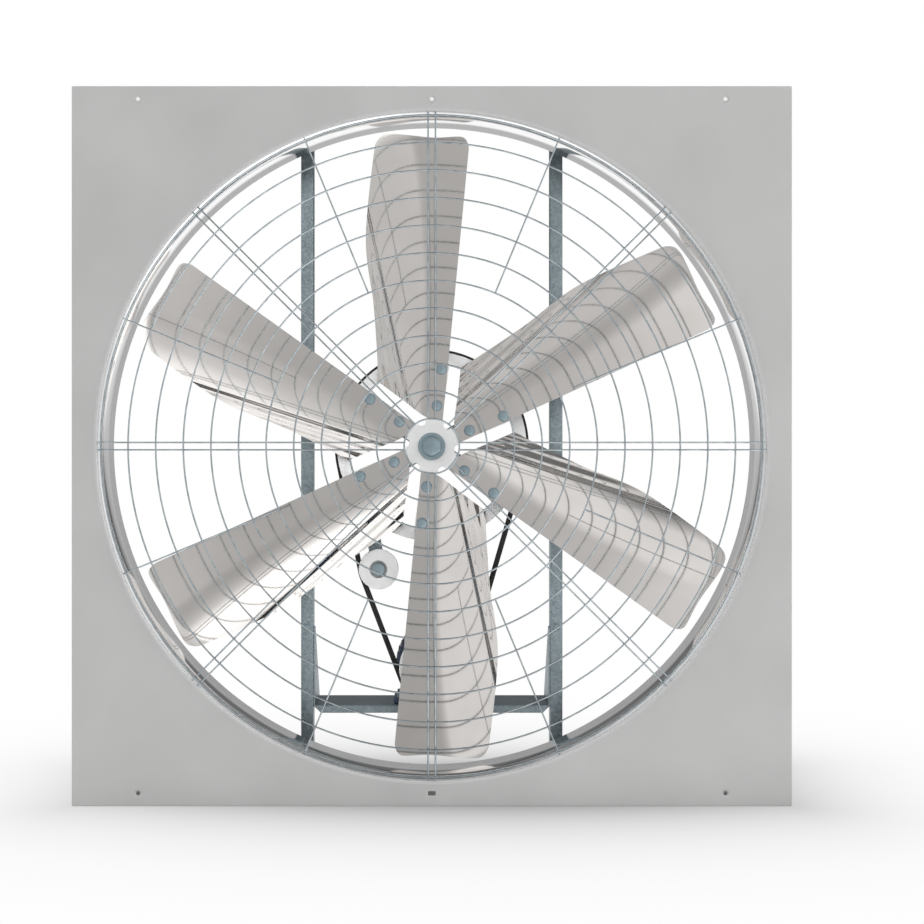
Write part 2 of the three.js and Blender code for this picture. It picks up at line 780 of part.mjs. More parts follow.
// Points around the belt's inner face, each with the direction that points out of the loop.
function beltPath() {
  const arcStep = degrees(8);
  return beltWheels.flatMap((wheel, index) => {
    const count = beltWheels.length;
    const before = beltWheels[(index + count - 1) % count];
    const after = beltWheels[(index + 1) % count];
    const first = runDirection(before, wheel) - Math.PI / 2;
    let last = runDirection(wheel, after) - Math.PI / 2;
    while (last < first) last += 2 * Math.PI;
    const steps = Math.max(1, Math.ceil((last - first) / arcStep));
    return evenly(steps + 1, (step) => {
      const angle = first + ((last - first) * step) / steps;
      const outwards = new THREE.Vector2(Math.cos(angle), Math.sin(angle));
      return { outwards, inner: new THREE.Vector2(wheel.x, wheel.z).addScaledVector(outwards, wheel.radius) };
    });
  });
}

function driveBelt() {
  const outerHalf = beltWidth / 2;
  const innerHalf = outerHalf - beltThickness * beltSideTaper;
  const path = beltPath();
  const corners = path.flatMap(({ inner, outwards }) => {
    const outer = inner.clone().addScaledVector(outwards, beltThickness);
    return [
      new THREE.Vector3(inner.x, beltPlane - innerHalf, inner.y),
      new THREE.Vector3(outer.x, beltPlane - outerHalf, outer.y),
      new THREE.Vector3(outer.x, beltPlane + outerHalf, outer.y),
      new THREE.Vector3(inner.x, beltPlane + innerHalf, inner.y),
    ];
  });
  const sides = 4;
  const faces = path.flatMap((_, step) => {
    const here = step * sides;
    const there = ((step + 1) % path.length) * sides;
    return evenly(sides, (side) => {
      const next = (side + 1) % sides;
      return [here + side, there + next, there + side, here + side, here + next, there + next];
    }).flat();
  });
  const geometry = new THREE.BufferGeometry().setFromPoints(corners);
  geometry.setIndex(faces);
  geometry.computeVertexNormals();
  return geometry;
}

// ---------------------------------------------------------------------------------------------
// Frame behind the rotor
// ---------------------------------------------------------------------------------------------

// A channel that is open to the rear, standing between the bottom and the top of the housing.
function uprightChannel() {
  const side = uprightWidth / 2;
  const rear = uprightFront + uprightDepth;
  const web = uprightFront + uprightWall;
  const inside = side - uprightWall;
  const outline = [
    [-side, uprightFront],
    [side, uprightFront],
    [side, rear],
    [inside, rear],
    [inside, web],
    [-inside, web],
    [-inside, rear],
    [-side, rear],
  ];
  const rise = [sheet + seat, panelSide - sheet - seat];
  const bolt = holeFor(uprightBoltShank, [uprightFront - 1, web + 1], smallSides, 0, shelfTop + uprightBoltRise);
  return cut(column(outline, rise), bolt);
}

// The spring's fixed end is held by a tab on the front of the left upright.
function springPost() {
  const tab = block(
    [-springTab / 2, springTab / 2],
    [springAxisDepth - springTabEdge, uprightFront + 1],
    [springZ - springTabHeight / 2, springZ + springTabHeight / 2],
  );
  return cut(tab, springHole([-springTab, springTab]));
}

// A hole along X for the spring's wire.
function springHole([left, right]) {
  return sidewaysRod(boreFor(springWire / 2, smallSides), [left, right], springAxisDepth, springZ);
}

// An arm runs from the middle out to one upright, and ends in a foot against its side.
function carrierArm(sideways, up, span) {
  const width = carrierArmWidth / 2;
  const across = [-width * Math.sin(carrierLean), width * Math.cos(carrierLean)];
  const spread = width / Math.cos(carrierLean);
  const corners = [
    across,
    across.map((value) => -value),
    [carrierEnd, carrierRise - spread],
    [carrierEnd, carrierRise + spread],
  ];
  const outline = corners.map(([x, z]) => [sideways * x, up * z]);
  if (sideways * up < 0) outline.reverse();
  return plate(outline, span);
}

function carrierFoot(sideways, up, span) {
  const reach = [sideways * (carrierEnd - carrierFootThickness), sideways * carrierEnd].sort((a, b) => a - b);
  const middle = up * carrierRise;
  return block(reach, span, [middle - carrierFootHeight / 2, middle + carrierFootHeight / 2]);
}

function hubCarrier() {
  const span = [carrierFront, carrierRear];
  const arms = [-1, 1].flatMap((sideways) =>
    [-1, 1].flatMap((up) => [carrierArm(sideways, up, span), carrierFoot(sideways, up, span)]),
  );
  const housing = bar(bearingHousingRadius, [frontBearingDepth - bearingLip, carrierRear]);
  const bore = holeFor(bearingOuterRadius, [hubRear, carrierRear + 1]);
  const bossRadius = pivotFlats / 2 + pivotBossWall;
  const pivotBoss = bar(bossRadius, [tensionerRear + seat, carrierFront + 1], shaftSides, pivotX, pivotZ);
  const pivotHole = holeFor(pivotShank, [tensionerRear, carrierRear + 1], smallSides, pivotX, pivotZ);
  return cut(joined(housing, ...arms, pivotBoss), bore, pivotHole);
}

// ---------------------------------------------------------------------------------------------
// Motor shelf
// ---------------------------------------------------------------------------------------------

const shelfFront = uprightFront;
const shelfRear = shelfFront + shelfDepth;
const footBoltDepths = [-1, 1].map((sign) => (frameFront + frameRear) / 2 + (sign * footBoltSpacing) / 2);

// An ear folded up from the shelf's end, against the side of an upright.
function shelfEar(sideways) {
  const foot = shelfTop - shelfThickness;
  const corners = [
    [shelfFront, foot],
    [shelfRear, foot],
    [shelfRear, shelfTop + earToe],
    [shelfFront + uprightDepth / 2, shelfTop + earHeight],
    [shelfFront, shelfTop + earHeight],
  ];
  const geometry = new THREE.ExtrudeGeometry(shapeOf(corners), { depth: shelfThickness, bevelEnabled: false });
  geometry.rotateX(Math.PI / 2).rotateZ(Math.PI / 2);
  return geometry.translate(sideways < 0 ? -carrierEnd : carrierEnd - shelfThickness, 0, 0);
}

function motorShelf() {
  const end = carrierEnd;
  const top = block([-end, end], [shelfFront, shelfRear], [shelfTop - shelfThickness, shelfTop]);
  const lipOutline = [
    [-end, shelfTop - 1],
    [-end + shelfLip, shelfTop - shelfLip],
    [end - shelfLip, shelfTop - shelfLip],
    [end, shelfTop - 1],
  ];
  const lips = [
    plate(lipOutline, [shelfFront, shelfFront + shelfThickness]),
    plate(lipOutline, [shelfRear - shelfThickness, shelfRear]),
  ];
  const holes = [-footHalfSpread, footHalfSpread].flatMap((x) =>
    footBoltDepths.map((depth) => uprightHole(x, depth, [shelfTop - 2 * shelfThickness, shelfTop + 1])),
  );
  return cut(joined(top, ...lips, shelfEar(-1), shelfEar(1)), ...holes);
}

// A hole for a foot bolt, straight down.
const uprightHole = (x, depth, rise) => uprightRod(boreFor(footBoltShank, smallSides), rise, x, depth);

function uprightBolt() {
  const rear = uprightFront - seat;
  const head = hexBar(uprightBoltFlats, [rear - uprightBoltHead, rear]);
  const end = uprightFront + uprightWall + uprightBoltReach;
  return joined(head, bar(uprightBoltShank, [rear - 1, end], smallSides));
}

// ---------------------------------------------------------------------------------------------
// Motor, around its own axis
// ---------------------------------------------------------------------------------------------

const shelfLevel = -motorShaftHeight; // the shelf's top seen from the motor's axis
const padTop = motorRootRadius + terminalPadRise;
const boxMiddle = (frameFront + frameRear) / 2;
const boxBottom = padTop + seat;
const boxTop = boxBottom + terminalBoxHeight;
const boxSpan = [-terminalBoxWidth / 2, terminalBoxWidth / 2];
const boxDepthSpan = [boxMiddle - terminalBoxDepth / 2, boxMiddle + terminalBoxDepth / 2];
const glandLevel = (boxBottom + boxTop) / 2;

function finnedBarrel() {
  const footAngle = motorFinFoot / 2 / motorRootRadius;
  const tipAngle = motorFinTip / 2 / motorFinRadius;
  const corners = evenly(motorFins, (index) => {
    const middle = degrees((360 / motorFins) * index);
    return [
      [motorRootRadius, middle - footAngle],
      [motorFinRadius, middle - tipAngle],
      [motorFinRadius, middle + tipAngle],
      [motorRootRadius, middle + footAngle],
    ];
  }).flat();
  const outline = corners.map(([radius, angle]) => [radius * Math.cos(angle), radius * Math.sin(angle)]);
  return plate(outline, [frameFront, frameRear]);
}

function motorFoot(sideways) {
  const across = (near, far) => [sideways * near, sideways * far].sort((a, b) => a - b);
  const span = [footBoltDepths[0] - footWidth / 2, footBoltDepths[1] + footWidth / 2];
  const inner = motorRootRadius - footWebInset;
  const level = shelfLevel + seat;
  return joined(
    block(across(inner, footHalfSpread + footOverhang), span, [level, level + footThickness]),
    block(across(inner, inner + footWeb), span, [level + 1, -motorRootRadius / 2]),
  );
}

function motorFrame() {
  const holes = [-footHalfSpread, footHalfSpread].flatMap((x) =>
    footBoltDepths.map((depth) => uprightHole(x, depth, [shelfLevel - 1, shelfLevel + 2 * footThickness])),
  );
  const inset = ([near, far]) => [near + terminalPadInset, far - terminalPadInset];
  const boxPad = block(inset(boxSpan), inset(boxDepthSpan), [motorRootRadius - terminalPadRoot, padTop]);
  const bore = bar(statorBoreRadius, [frameFront - 1, frameRear + 1]);
  return cut(joined(finnedBarrel(), motorFoot(-1), motorFoot(1), boxPad), bore, ...holes);
}

function frontShield() {
  const bore = boreFor(motorShaftRadius);
  const front = motorFront - motorBossProud;
  const rear = motorFront + shieldThickness;
  const profile = [
    [bore, front],
    [motorBossRadius, front],
    [motorBossRadius + motorBossStep, motorFront + motorBossStep],
    [shieldRadius - shieldBevel, motorFront + shieldDome],
    [shieldRadius, rear - motorBossStep],
    [shieldRadius, rear],
    [bore, rear],
  ];
  return turned(profile, shaftSides);
}

function rearShield() {
  const front = frameRear + seat;
  return bearing(shieldRadius - cowlWall - 2 * seat, motorShaftRadius, [front, front + rearShieldThickness]);
}

function fanCowl() {
  const front = frameRear + 2 * seat;
  const inner = shieldRadius - cowlWall;
  const profile = [
    [0, cowlRear - cowlWall],
    [inner - cowlBevel, cowlRear - cowlWall],
    [inner, cowlRear - cowlBevel - cowlWall],
    [inner, front],
    [shieldRadius, front],
    [shieldRadius, cowlRear - cowlBevel],
    [shieldRadius - cowlBevel, cowlRear],
    [0, cowlRear],
  ];
  const slots = evenly(cowlSlots, (index) => {
    const reach = [cowlSlotInset, shieldRadius - cowlSlotInset];
    const width = cowlSlotWidth / 2;
    const slot = block(reach, [cowlRear - 2 * cowlWall, cowlRear + 1], [-width, width]);
    return swung(slot, degrees((360 / cowlSlots) * index));
  });
  return cut(turned(profile, shaftSides), ...slots);
}

function motorShaft() {
  const coreFront = (frameFront + frameRear - rotorCoreLength) / 2;
  return joined(
    bar(motorShaftRadius, [pulleyFront - 1, cowlRear - 2 * motorFanGap]),
    bar(statorBoreRadius - rotorAirGap, [coreFront, coreFront + rotorCoreLength]),
  );
}

function motorFan() {
  const front = frameRear + rearShieldThickness + motorFanStep;
  const rear = cowlRear - cowlWall - motorFanGap;
  const reach = shieldRadius - cowlWall - motorFanGap;
  const hub = bar(motorShaftRadius + motorFanHub, [front, rear]);
  const disc = bar(reach - motorFanDiscInset, [front, front + motorFanDisc]);
  const vanes = evenly(motorFanBlades, (index) => {
    const thick = motorFanVane / 2;
    const vane = block([motorShaftRadius + motorFanHub / 2, reach], [front, rear], [-thick, thick]);
    return swung(vane, degrees((360 / motorFanBlades) * index));
  });
  return cut(joined(hub, disc, ...vanes), holeFor(motorShaftRadius, [front - 1, rear + 1]));
}

function motorPulley() {
  const rim = turned(groovedProfile(motorPulleyFlangeRadius, pulleyWidth, motorShaftRadius + 4), shaftSides);
  const boss = bar(motorBossRadius, [beltPlane, motorFront - motorBossProud - 4 * seat]);
  const bore = holeFor(motorShaftRadius, [beltPlane - pulleyWidth, motorFront]);
  return cut(joined(rim, boss), bore);
}

function terminalBox() {
  const inset = ([near, far]) => [near + terminalWall, far - terminalWall];
  const outer = block(boxSpan, boxDepthSpan, [boxBottom, boxTop]);
  const hollow = block(inset(boxSpan), inset(boxDepthSpan), [boxBottom + terminalWall, boxTop + 1]);
  const wall = [boxSpan[1] - 2 * terminalWall, boxSpan[1] + 1];
  const glandHole = sidewaysRod(boreFor(glandNeckRadius, smallSides), wall, boxMiddle, glandLevel);
  return cut(outer, hollow, glandHole);
}

function cableGland() {
  const start = boxSpan[1] + seat;
  const inside = boxSpan[1] - terminalWall - glandNeckReach;
  const shoulder = start + glandCollarLength;
  const end = shoulder + glandDomeLength;
  const collar = sidewaysRod(glandCollarRadius, [start, shoulder], boxMiddle, glandLevel, 6);
  const dome = sidewaysRod(glandDomeRadius, [shoulder - 1, end], boxMiddle, glandLevel);
  const neck = sidewaysRod(glandNeckRadius, [inside, start + 1], boxMiddle, glandLevel);
  const bore = sidewaysRod(glandBore, [inside - 1, end + 1], boxMiddle, glandLevel);
  return cut(joined(collar, dome, neck), bore);
}

function terminalLid() {
  const grow = ([near, far], by) => [near - by, far + by];
  const lipInset = -terminalWall - lidLipGap;
  const level = boxTop + seat;
  const lid = block(grow(boxSpan, lidOverhang), grow(boxDepthSpan, lidOverhang), [level, level + lidThickness]);
  const lip = block(grow(boxSpan, lipInset), grow(boxDepthSpan, lipInset), [boxTop - lidLip, level + 1]);
  return joined(lid, lip);
}

function footBolt() {
  const seatLevel = shelfLevel + seat + footThickness + seat;
  const across = footBoltFlats / 2 / Math.cos(Math.PI / 6);
  return joined(
    uprightRod(footBoltShank, [seatLevel - footThickness - footBoltReach, seatLevel + 1]),
    uprightRod(across, [seatLevel, seatLevel + footBoltHead], 0, 0, 6),
  );
}

// ---------------------------------------------------------------------------------------------
// Tensioner, around the fan's axis
// ---------------------------------------------------------------------------------------------

const armTabX = THREE.MathUtils.mapLinear(springZ, pivotZ, idlerZ, pivotX, idlerX) - tensionerWidth / 2;
const idlerBearingFront = beltPlane - idlerBearingWidth / 2;

function tensionerArm() {
  const lean = Math.atan2(idlerZ - pivotZ, idlerX - pivotX);
  const round = tensionerWidth / 2;
  const shape = new THREE.Shape();
  shape.absarc(pivotX, pivotZ, round, lean + Math.PI / 2, lean + 1.5 * Math.PI, false);
  shape.absarc(idlerX, idlerZ, round, lean - Math.PI / 2, lean + Math.PI / 2, false);
  const blade = shapedPlate(shape, [tensionerFront, tensionerRear]);
  const rise = [springZ - springTabHeight / 2, springZ + springTabHeight / 2];
  const tabSpan = [armTabX - springTab / 2, armTabX + springTab / 2];
  const tab = block(tabSpan, [springAxisDepth - springTabEdge, tensionerRear], rise);
  const bridge = block([armTabX, armTabX + springTabEdge], [tensionerFront, tensionerRear], rise);
  const through = [tensionerFront - 1, tensionerRear + 1];
  const pivotHole = holeFor(pivotShank, through, smallSides, pivotX, pivotZ);
  const idlerHole = holeFor(idlerShank, through, shaftSides, idlerX, idlerZ);
  const wireHole = springHole([armTabX - springTab, armTabX + springTab]);
  return cut(joined(blade, tab, bridge), pivotHole, idlerHole, wireHole);
}

function pivotBolt() {
  const head = hexBar(pivotFlats, [carrierRear + seat, carrierRear + seat + pivotHead], pivotX, pivotZ);
  return joined(head, bar(pivotShank, [tensionerFront, carrierRear + 1], smallSides, pivotX, pivotZ));
}

function idlerPulley() {
  const near = beltPlane - idlerWidth / 2;
  const far = beltPlane + idlerWidth / 2;
  const bore = boreFor(idlerBearingOuter);
  const profile = [
    [bore, near],
    [idlerFlangeRadius, near],
    [idlerFlangeRadius, near + idlerFlange],
    [idlerRimRadius, near + idlerFlange + idlerFlangeSlope],
    [idlerRimRadius, far - idlerFlange - idlerFlangeSlope],
    [idlerFlangeRadius, far - idlerFlange],
    [idlerFlangeRadius, far],
    [bore, far],
  ];
  return turned(profile, shaftSides);
}

function idlerBolt() {
  const headRear = idlerBearingFront - seat;
  const spacerFront = idlerBearingFront + idlerBearingWidth + seat;
  const spacer = bar(idlerSpacerRadius, [spacerFront, tensionerFront - seat]);
  const shank = bar(idlerShank, [headRear - 1, tensionerRear]);
  const head = bar(idlerBoltHeadRadius, [headRear - idlerBoltHead, headRear]);
  return joined(head, shank, spacer);
}

// A path straight from each point to the next.
class SpringPath extends THREE.Curve {
  constructor(points) {
    super();
    this.points = points;
  }
  getPoint(share, target = new THREE.Vector3()) {
    const place = share * (this.points.length - 1);
    const index = Math.min(Math.floor(place), this.points.length - 2);
    return target.lerpVectors(this.points[index], this.points[index + 1], place - index);
  }
}

// The coil, from the arm's side to the upright's. Its first and last half curl grow out of the axis.
function coilPoints() {
  const steps = springCurls * springCurlSteps;
  const start = -uprightInner + springPostLeg;
  return evenly(steps + 1, (step) => {
    const turn = (step / springCurlSteps) * 2 * Math.PI;
    const fullAfter = springCurlSteps / 2;
    const radius = Math.min(1, step / fullAfter, (steps - step) / fullAfter) * springCoilRadius;
    const x = start + springCoilLength * (1 - step / steps);
    return new THREE.Vector3(x, springAxisDepth + radius * Math.sin(turn), springZ + radius * Math.cos(turn));
  });
}

// One unbroken wire: a bent end, a straight leg through the arm's tab, the coil, and the same again
// at the upright's tab.
function springPoints() {
  const at = (x, up = 0) => new THREE.Vector3(x, springAxisDepth, springZ + up);
  const end = (tabX, out) => {
    const past = tabX + out * (springTab / 2 + springHolePast);
    return [at(past + out * springWire, springBend), at(past + out * springWire, springWire / 2), at(past)];
  };
  const armSide = [...end(armTabX, 1), at(armTabX - springTab)];
  const postSide = [at(-uprightSpread + springTab), ...end(-uprightSpread, -1).reverse()];
  return [...armSide, ...coilPoints(), ...postSide];
}

// Least air between two stretches of the wire that are over half a curl apart.
function springLeastGap(points) {
  const apart = springCurlSteps / 2 + 1;
  let least = Infinity;
  points.forEach((point, index) => {
    points.slice(index + apart).forEach((other) => {
      least = Math.min(least, point.distanceTo(other) - springWire);
    });
  });
  return least;
}

function tensionerSpring() {
  const points = springPoints();
  console.log(`tensioner spring: least gap to itself ${springLeastGap(points).toFixed(2)} mm`);
  const section = evenly(springSides, (index) => {
    const angle = degrees((360 / springSides) * index);
    return [(springWire / 2) * Math.cos(angle), (springWire / 2) * Math.sin(angle)];
  });
  const extrudePath = new SpringPath(points);
  const steps = points.length - 1;
  return new THREE.ExtrudeGeometry(shapeOf(section), { steps, extrudePath, bevelEnabled: false });
}

// ---------------------------------------------------------------------------------------------
// Assembly
// ---------------------------------------------------------------------------------------------

function rotor() {
  const blade = bladeGeometry();
  const bolt = bladeBolt();
  const blades = evenly(bladeCount, (index) => {
    const angle = degrees(bladePhase + (360 / bladeCount) * index);
    const mesh = piece(`blade_${index + 1}`, blade, finishes.stainless);
    mesh.rotation.y = -angle;
    const bolts = bladeBoltRadii.map((radius, place) => {
      const name = `blade_bolt_${index + 1}_${place ? "outer" : "inner"}`;
      const boltMesh = piece(name, bolt, finishes.fastener);
      boltMesh.position.set(radius * Math.cos(angle), 0, radius * Math.sin(angle));
      boltMesh.rotation.y = -angle;
      return boltMesh;
    });
    return [mesh, ...bolts];
  });
  const pulley = piece("drive_pulley", drivePulley(), finishes.castPulley);
  pulley.rotation.y = -degrees(bladePhase);
  const cap = piece("hub_cap", hubCap(), finishes.castPulley);
  cap.rotation.y = -degrees(bladePhase);
  return group(
    [0, 0, axisHeight],
    pulley,
    cap,
    piece("hub_washer", hubWasher(), finishes.fastener),
    piece("hub_bolt", hubBolt(), finishes.fastener),
    piece("fan_shaft", fanShaft(), finishes.bearing),
    blades.flat(),
  );
}

function carrier() {
  const bearingAt = (front) => bearing(bearingOuterRadius, shaftRadius, [front, front + bearingWidth]);
  return group(
    [0, 0, axisHeight],
    piece("hub_carrier", hubCarrier(), finishes.galvanised),
    piece("front_bearing", bearingAt(frontBearingDepth), finishes.bearing),
    piece("rear_bearing", bearingAt(rearBearingDepth), finishes.bearing),
  );
}

function tensioner() {
  const idler = piece("idler_pulley", idlerPulley(), finishes.castPulley);
  const span = [idlerBearingFront, idlerBearingFront + idlerBearingWidth];
  const idlerBearing = piece("idler_bearing", bearing(idlerBearingOuter, idlerShank, span), finishes.bearing);
  const bolt = piece("idler_bolt", idlerBolt(), finishes.fastener);
  const wheel = group([idlerX, 0, idlerZ], idler, idlerBearing, bolt);
  return group(
    [0, 0, axisHeight],
    piece("tensioner_arm", tensionerArm(), finishes.galvanised),
    piece("pivot_bolt", pivotBolt(), finishes.fastener),
    piece("tensioner_spring", tensionerSpring(), finishes.bearing),
    piece("drive_belt", driveBelt(), finishes.rubber),
    wheel,
  );
}

function motor() {
  const bolts = ["left", "right"].flatMap((side, column) =>
    ["front", "rear"].map((end, row) => {
      const mesh = piece(`foot_bolt_${side}_${end}`, footBolt(), finishes.fastener);
      mesh.position.set(column ? footHalfSpread : -footHalfSpread, footBoltDepths[row], 0);
      return mesh;
    }),
  );
  return group(
    [0, 0, motorHeight],
    piece("motor_frame", motorFrame(), finishes.motorBlue),
    piece("motor_front_shield", frontShield(), finishes.motorBlue),
    piece("motor_rear_shield", rearShield(), finishes.motorBlue),
    piece("motor_fan_cowl", fanCowl(), finishes.motorBlue),
    piece("motor_fan", motorFan(), finishes.blackPlastic),
    piece("motor_shaft", motorShaft(), finishes.bearing),
    piece("motor_pulley", motorPulley(), finishes.castPulley),
    piece("terminal_box", terminalBox(), finishes.motorBlue),
    piece("terminal_lid", terminalLid(), finishes.motorBlue),
    piece("cable_gland", cableGland(), finishes.blackPlastic),
    bolts,
  );
}

function frame() {
  const sides = [
    { side: "left", sideways: -1 },
    { side: "right", sideways: 1 },
  ];
  return sides.flatMap(({ side, sideways }) => {
    const channel = uprightChannel();
    const post = springPost().translate(0, 0, axisHeight);
    const shape = sideways < 0 ? joined(channel, post) : channel;
    const upright = piece(`${side}_upright`, shape, finishes.galvanised);
    upright.position.x = sideways * uprightSpread;
    const bolt = piece(`${side}_upright_bolt`, uprightBolt(), finishes.fastener);
    bolt.position.set(sideways * uprightSpread, 0, shelfTop + uprightBoltRise);
    return [upright, bolt];
  });
}

const fan = group(
  [0, -middleDepth, 0],
  piece("front_panel", frontPanel(), finishes.panelSteel),
  group([0, 0, axisHeight], piece("bell_mouth", bellMouth(), finishes.panelSteel)),
  housingWalls(),
  group([0, 0, axisHeight], piece("inlet_guard", inletGuard(), finishes.wire)),
  frame(),
  piece("motor_shelf", motorShelf(), finishes.galvanised),
  carrier(),
  rotor(),
  tensioner(),
  motor(),
);

export default fan;
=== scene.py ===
# %% [markdown]
# # A whole house fan, dressed in Blender
# The fan is a square sheet-metal housing with a bell-mouthed front panel and a welded wire guard. Six
# pressed stainless blades are bolted to the arms of a large belt pulley, and a motor on a low shelf turns
# that pulley by a V-belt with a sprung idler. The CAD model fixes every size and joint. Here each piece is
# made again with the fine form and the finish of the real one, in the same place, and rides on its body.

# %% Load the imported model
from math import asin, atan2, ceil, cos, hypot, pi, radians, sin, sqrt

import bmesh
import bpy
from mathutils import Matrix, Vector
from mathutils.geometry import tessellate_polygon


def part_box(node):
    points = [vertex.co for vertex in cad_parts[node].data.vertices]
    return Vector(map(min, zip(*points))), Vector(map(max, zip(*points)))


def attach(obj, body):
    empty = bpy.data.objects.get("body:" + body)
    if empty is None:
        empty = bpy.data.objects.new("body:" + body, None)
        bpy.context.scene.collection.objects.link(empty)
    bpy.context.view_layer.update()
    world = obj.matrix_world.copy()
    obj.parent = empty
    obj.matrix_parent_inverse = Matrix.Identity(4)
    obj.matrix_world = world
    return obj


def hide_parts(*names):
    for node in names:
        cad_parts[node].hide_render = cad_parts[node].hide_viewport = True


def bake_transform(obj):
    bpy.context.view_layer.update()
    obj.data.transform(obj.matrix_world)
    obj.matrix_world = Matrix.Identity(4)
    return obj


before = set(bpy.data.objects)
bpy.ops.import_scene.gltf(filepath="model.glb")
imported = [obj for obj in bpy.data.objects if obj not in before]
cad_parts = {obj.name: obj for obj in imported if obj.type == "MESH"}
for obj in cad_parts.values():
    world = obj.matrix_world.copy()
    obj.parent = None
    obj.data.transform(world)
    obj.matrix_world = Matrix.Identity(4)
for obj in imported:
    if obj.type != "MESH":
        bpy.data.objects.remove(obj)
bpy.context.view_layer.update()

# %% [markdown]
# ## One set of coordinates
# Everything on this fan is arranged around its axis and behind the flat face of its panel. So each piece
# is drawn in millimetres as (across, depth, up): across and up from the fan's axis, and depth back from
# the panel. A single matrix turns that into the frame's metres once a piece is done. The alternative, to
# write metres and add the offsets in each piece, would hide the sizes that a maker would measure.

# %% Working coordinates
panel_low, panel_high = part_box("front_panel")
panel_side = (panel_high.x - panel_low.x) * 1000
half = panel_side / 2
middle_depth = -panel_low.y * 1000
to_frame = Matrix.Scale(0.001, 4) @ Matrix.Translation((0, -middle_depth, half))
print(f"panel {panel_side:.0f} mm square, its face {middle_depth:.1f} mm in front of the frame's middle")

# %% [markdown]
# ## Node trees as sums
# Materials and Geometry Nodes are both trees of nodes. A small class wraps a socket so that a pattern can
# be written as a sum, and one method adds any other node: its type, its settings, then its sockets.

# %% Signal, a socket in a sum
def operator(operation, swapped=False):
    def method(self, other):
        pair = (other, self) if swapped else (self, other)
        return self.board.node("ShaderNodeMath", dict(enumerate(pair)), operation=operation)

    return method


class Signal:
    """A socket that can be added and scaled as if it were a number."""

    def __init__(self, board, socket):
        self.board = board
        self.socket = socket

    def part(self, name):
        return Signal(self.board, self.socket.node.outputs[name])

    __add__ = __radd__ = operator("ADD")
    __sub__ = operator("SUBTRACT")
    __rsub__ = operator("SUBTRACT", swapped=True)
    __mul__ = __rmul__ = operator("MULTIPLY")
    __truediv__ = operator("DIVIDE")

# %% Board, a tree of nodes
class Board:
    """A node tree, to which each call adds one node."""

    def __init__(self, tree):
        self.tree = tree
        tree.nodes.clear()

    def node(self, kind, sockets=None, **settings):
        made = self.tree.nodes.new(kind)
        for name, value in settings.items():
            setattr(made, name, value)
        for name, value in (sockets or {}).items():
            target = made.inputs[name]
            for each in value if isinstance(value, list) else [value]:
                if isinstance(each, Signal):
                    self.tree.links.new(each.socket, target)
                else:
                    target.default_value = each
        first = next((output for output in made.outputs if output.enabled), None)
        return Signal(self, first) if first else made

    def vector(self, operation, *values):
        return self.node("ShaderNodeVectorMath", dict(enumerate(values)), operation=operation)

    def placed(self, points, instance, **more):
        """An instance at each point."""
        sockets = {"Points": points, "Instance": instance, **more}
        return self.node("GeometryNodeInstanceOnPoints", sockets)

    def swept(self, curve, wire, sides):
        """A round wire along a curve, closed at its ends."""
        section = self.node("GeometryNodeCurvePrimitiveCircle", {"Resolution": sides, "Radius": wire * 0.5})
        sockets = {"Curve": curve, "Profile Curve": section, "Fill Caps": True}
        return self.node("GeometryNodeCurveToMesh", sockets)

    def power_of_e(self, value):
        return self.node("ShaderNodeMath", {0: value}, operation="EXPONENT")

    def band(self, value, low, high, **settings):
        """0 at the low value, 1 at the high one."""
        return self.node("ShaderNodeMapRange", {0: value, 1: low, 2: high}, **settings)

    def blend(self, share, first, second):
        return self.node("ShaderNodeMix", {0: share, 6: first, 7: second}, data_type="RGBA")

    def ramp(self, value, *stops):
        """A ramp of greys, from pairs of a place and a level."""
        made = self.node("ShaderNodeValToRGB", {0: value})
        elements = made.socket.node.color_ramp.elements
        while len(elements) < len(stops):
            elements.new(1.0)
        for element, (place, level) in zip(elements, stops):
            element.position = place
            element.color = grey(level)
        return made


grey = lambda level, warmth=0.0: (level * (1 + warmth), level, level * (1 - warmth), 1)

# %% [markdown]
# ## The studio
# The photograph is a plain product picture: a white ground that fades to white behind, soft light from
# all round, and the camera level with the fan's axis. Polished metal shows its surroundings, so those
# are what matter. World and floor are white to the camera, but reflections pass through the floor and see
# a room in zones of height: white low down, grey at eye level, dark overhead, and behind the fan dark
# from the horizon up. That room shades the throat's rolled lip and the blades' creases as in the picture.

# %% Camera
scene = bpy.context.scene
scene.view_settings.view_transform = "Standard"
camera_distance = 3300  # mm in front of the panel
camera = bpy.data.objects.new("camera", bpy.data.cameras.new("camera"))
camera.data.lens = 67.1
camera.data.shift_x = 0.0327
camera.data.shift_y = -0.0171
camera.location = to_frame @ Vector((0, -camera_distance, 0))
camera.rotation_euler = (pi / 2, 0, 0)
scene.collection.objects.link(camera)
scene.camera = camera
print("camera at", [round(value, 3) for value in camera.location])

# %% Surroundings
scene.world = bpy.data.worlds.new("studio")
scene.world.use_nodes = True
board = Board(scene.world.node_tree)
ray = board.node("ShaderNodeTexCoord").part("Generated")
sideways = board.node("ShaderNodeSeparateXYZ", {0: ray})
height = sideways.part("Z")
leaning_height = height * (1.0 + sideways * 0.4)
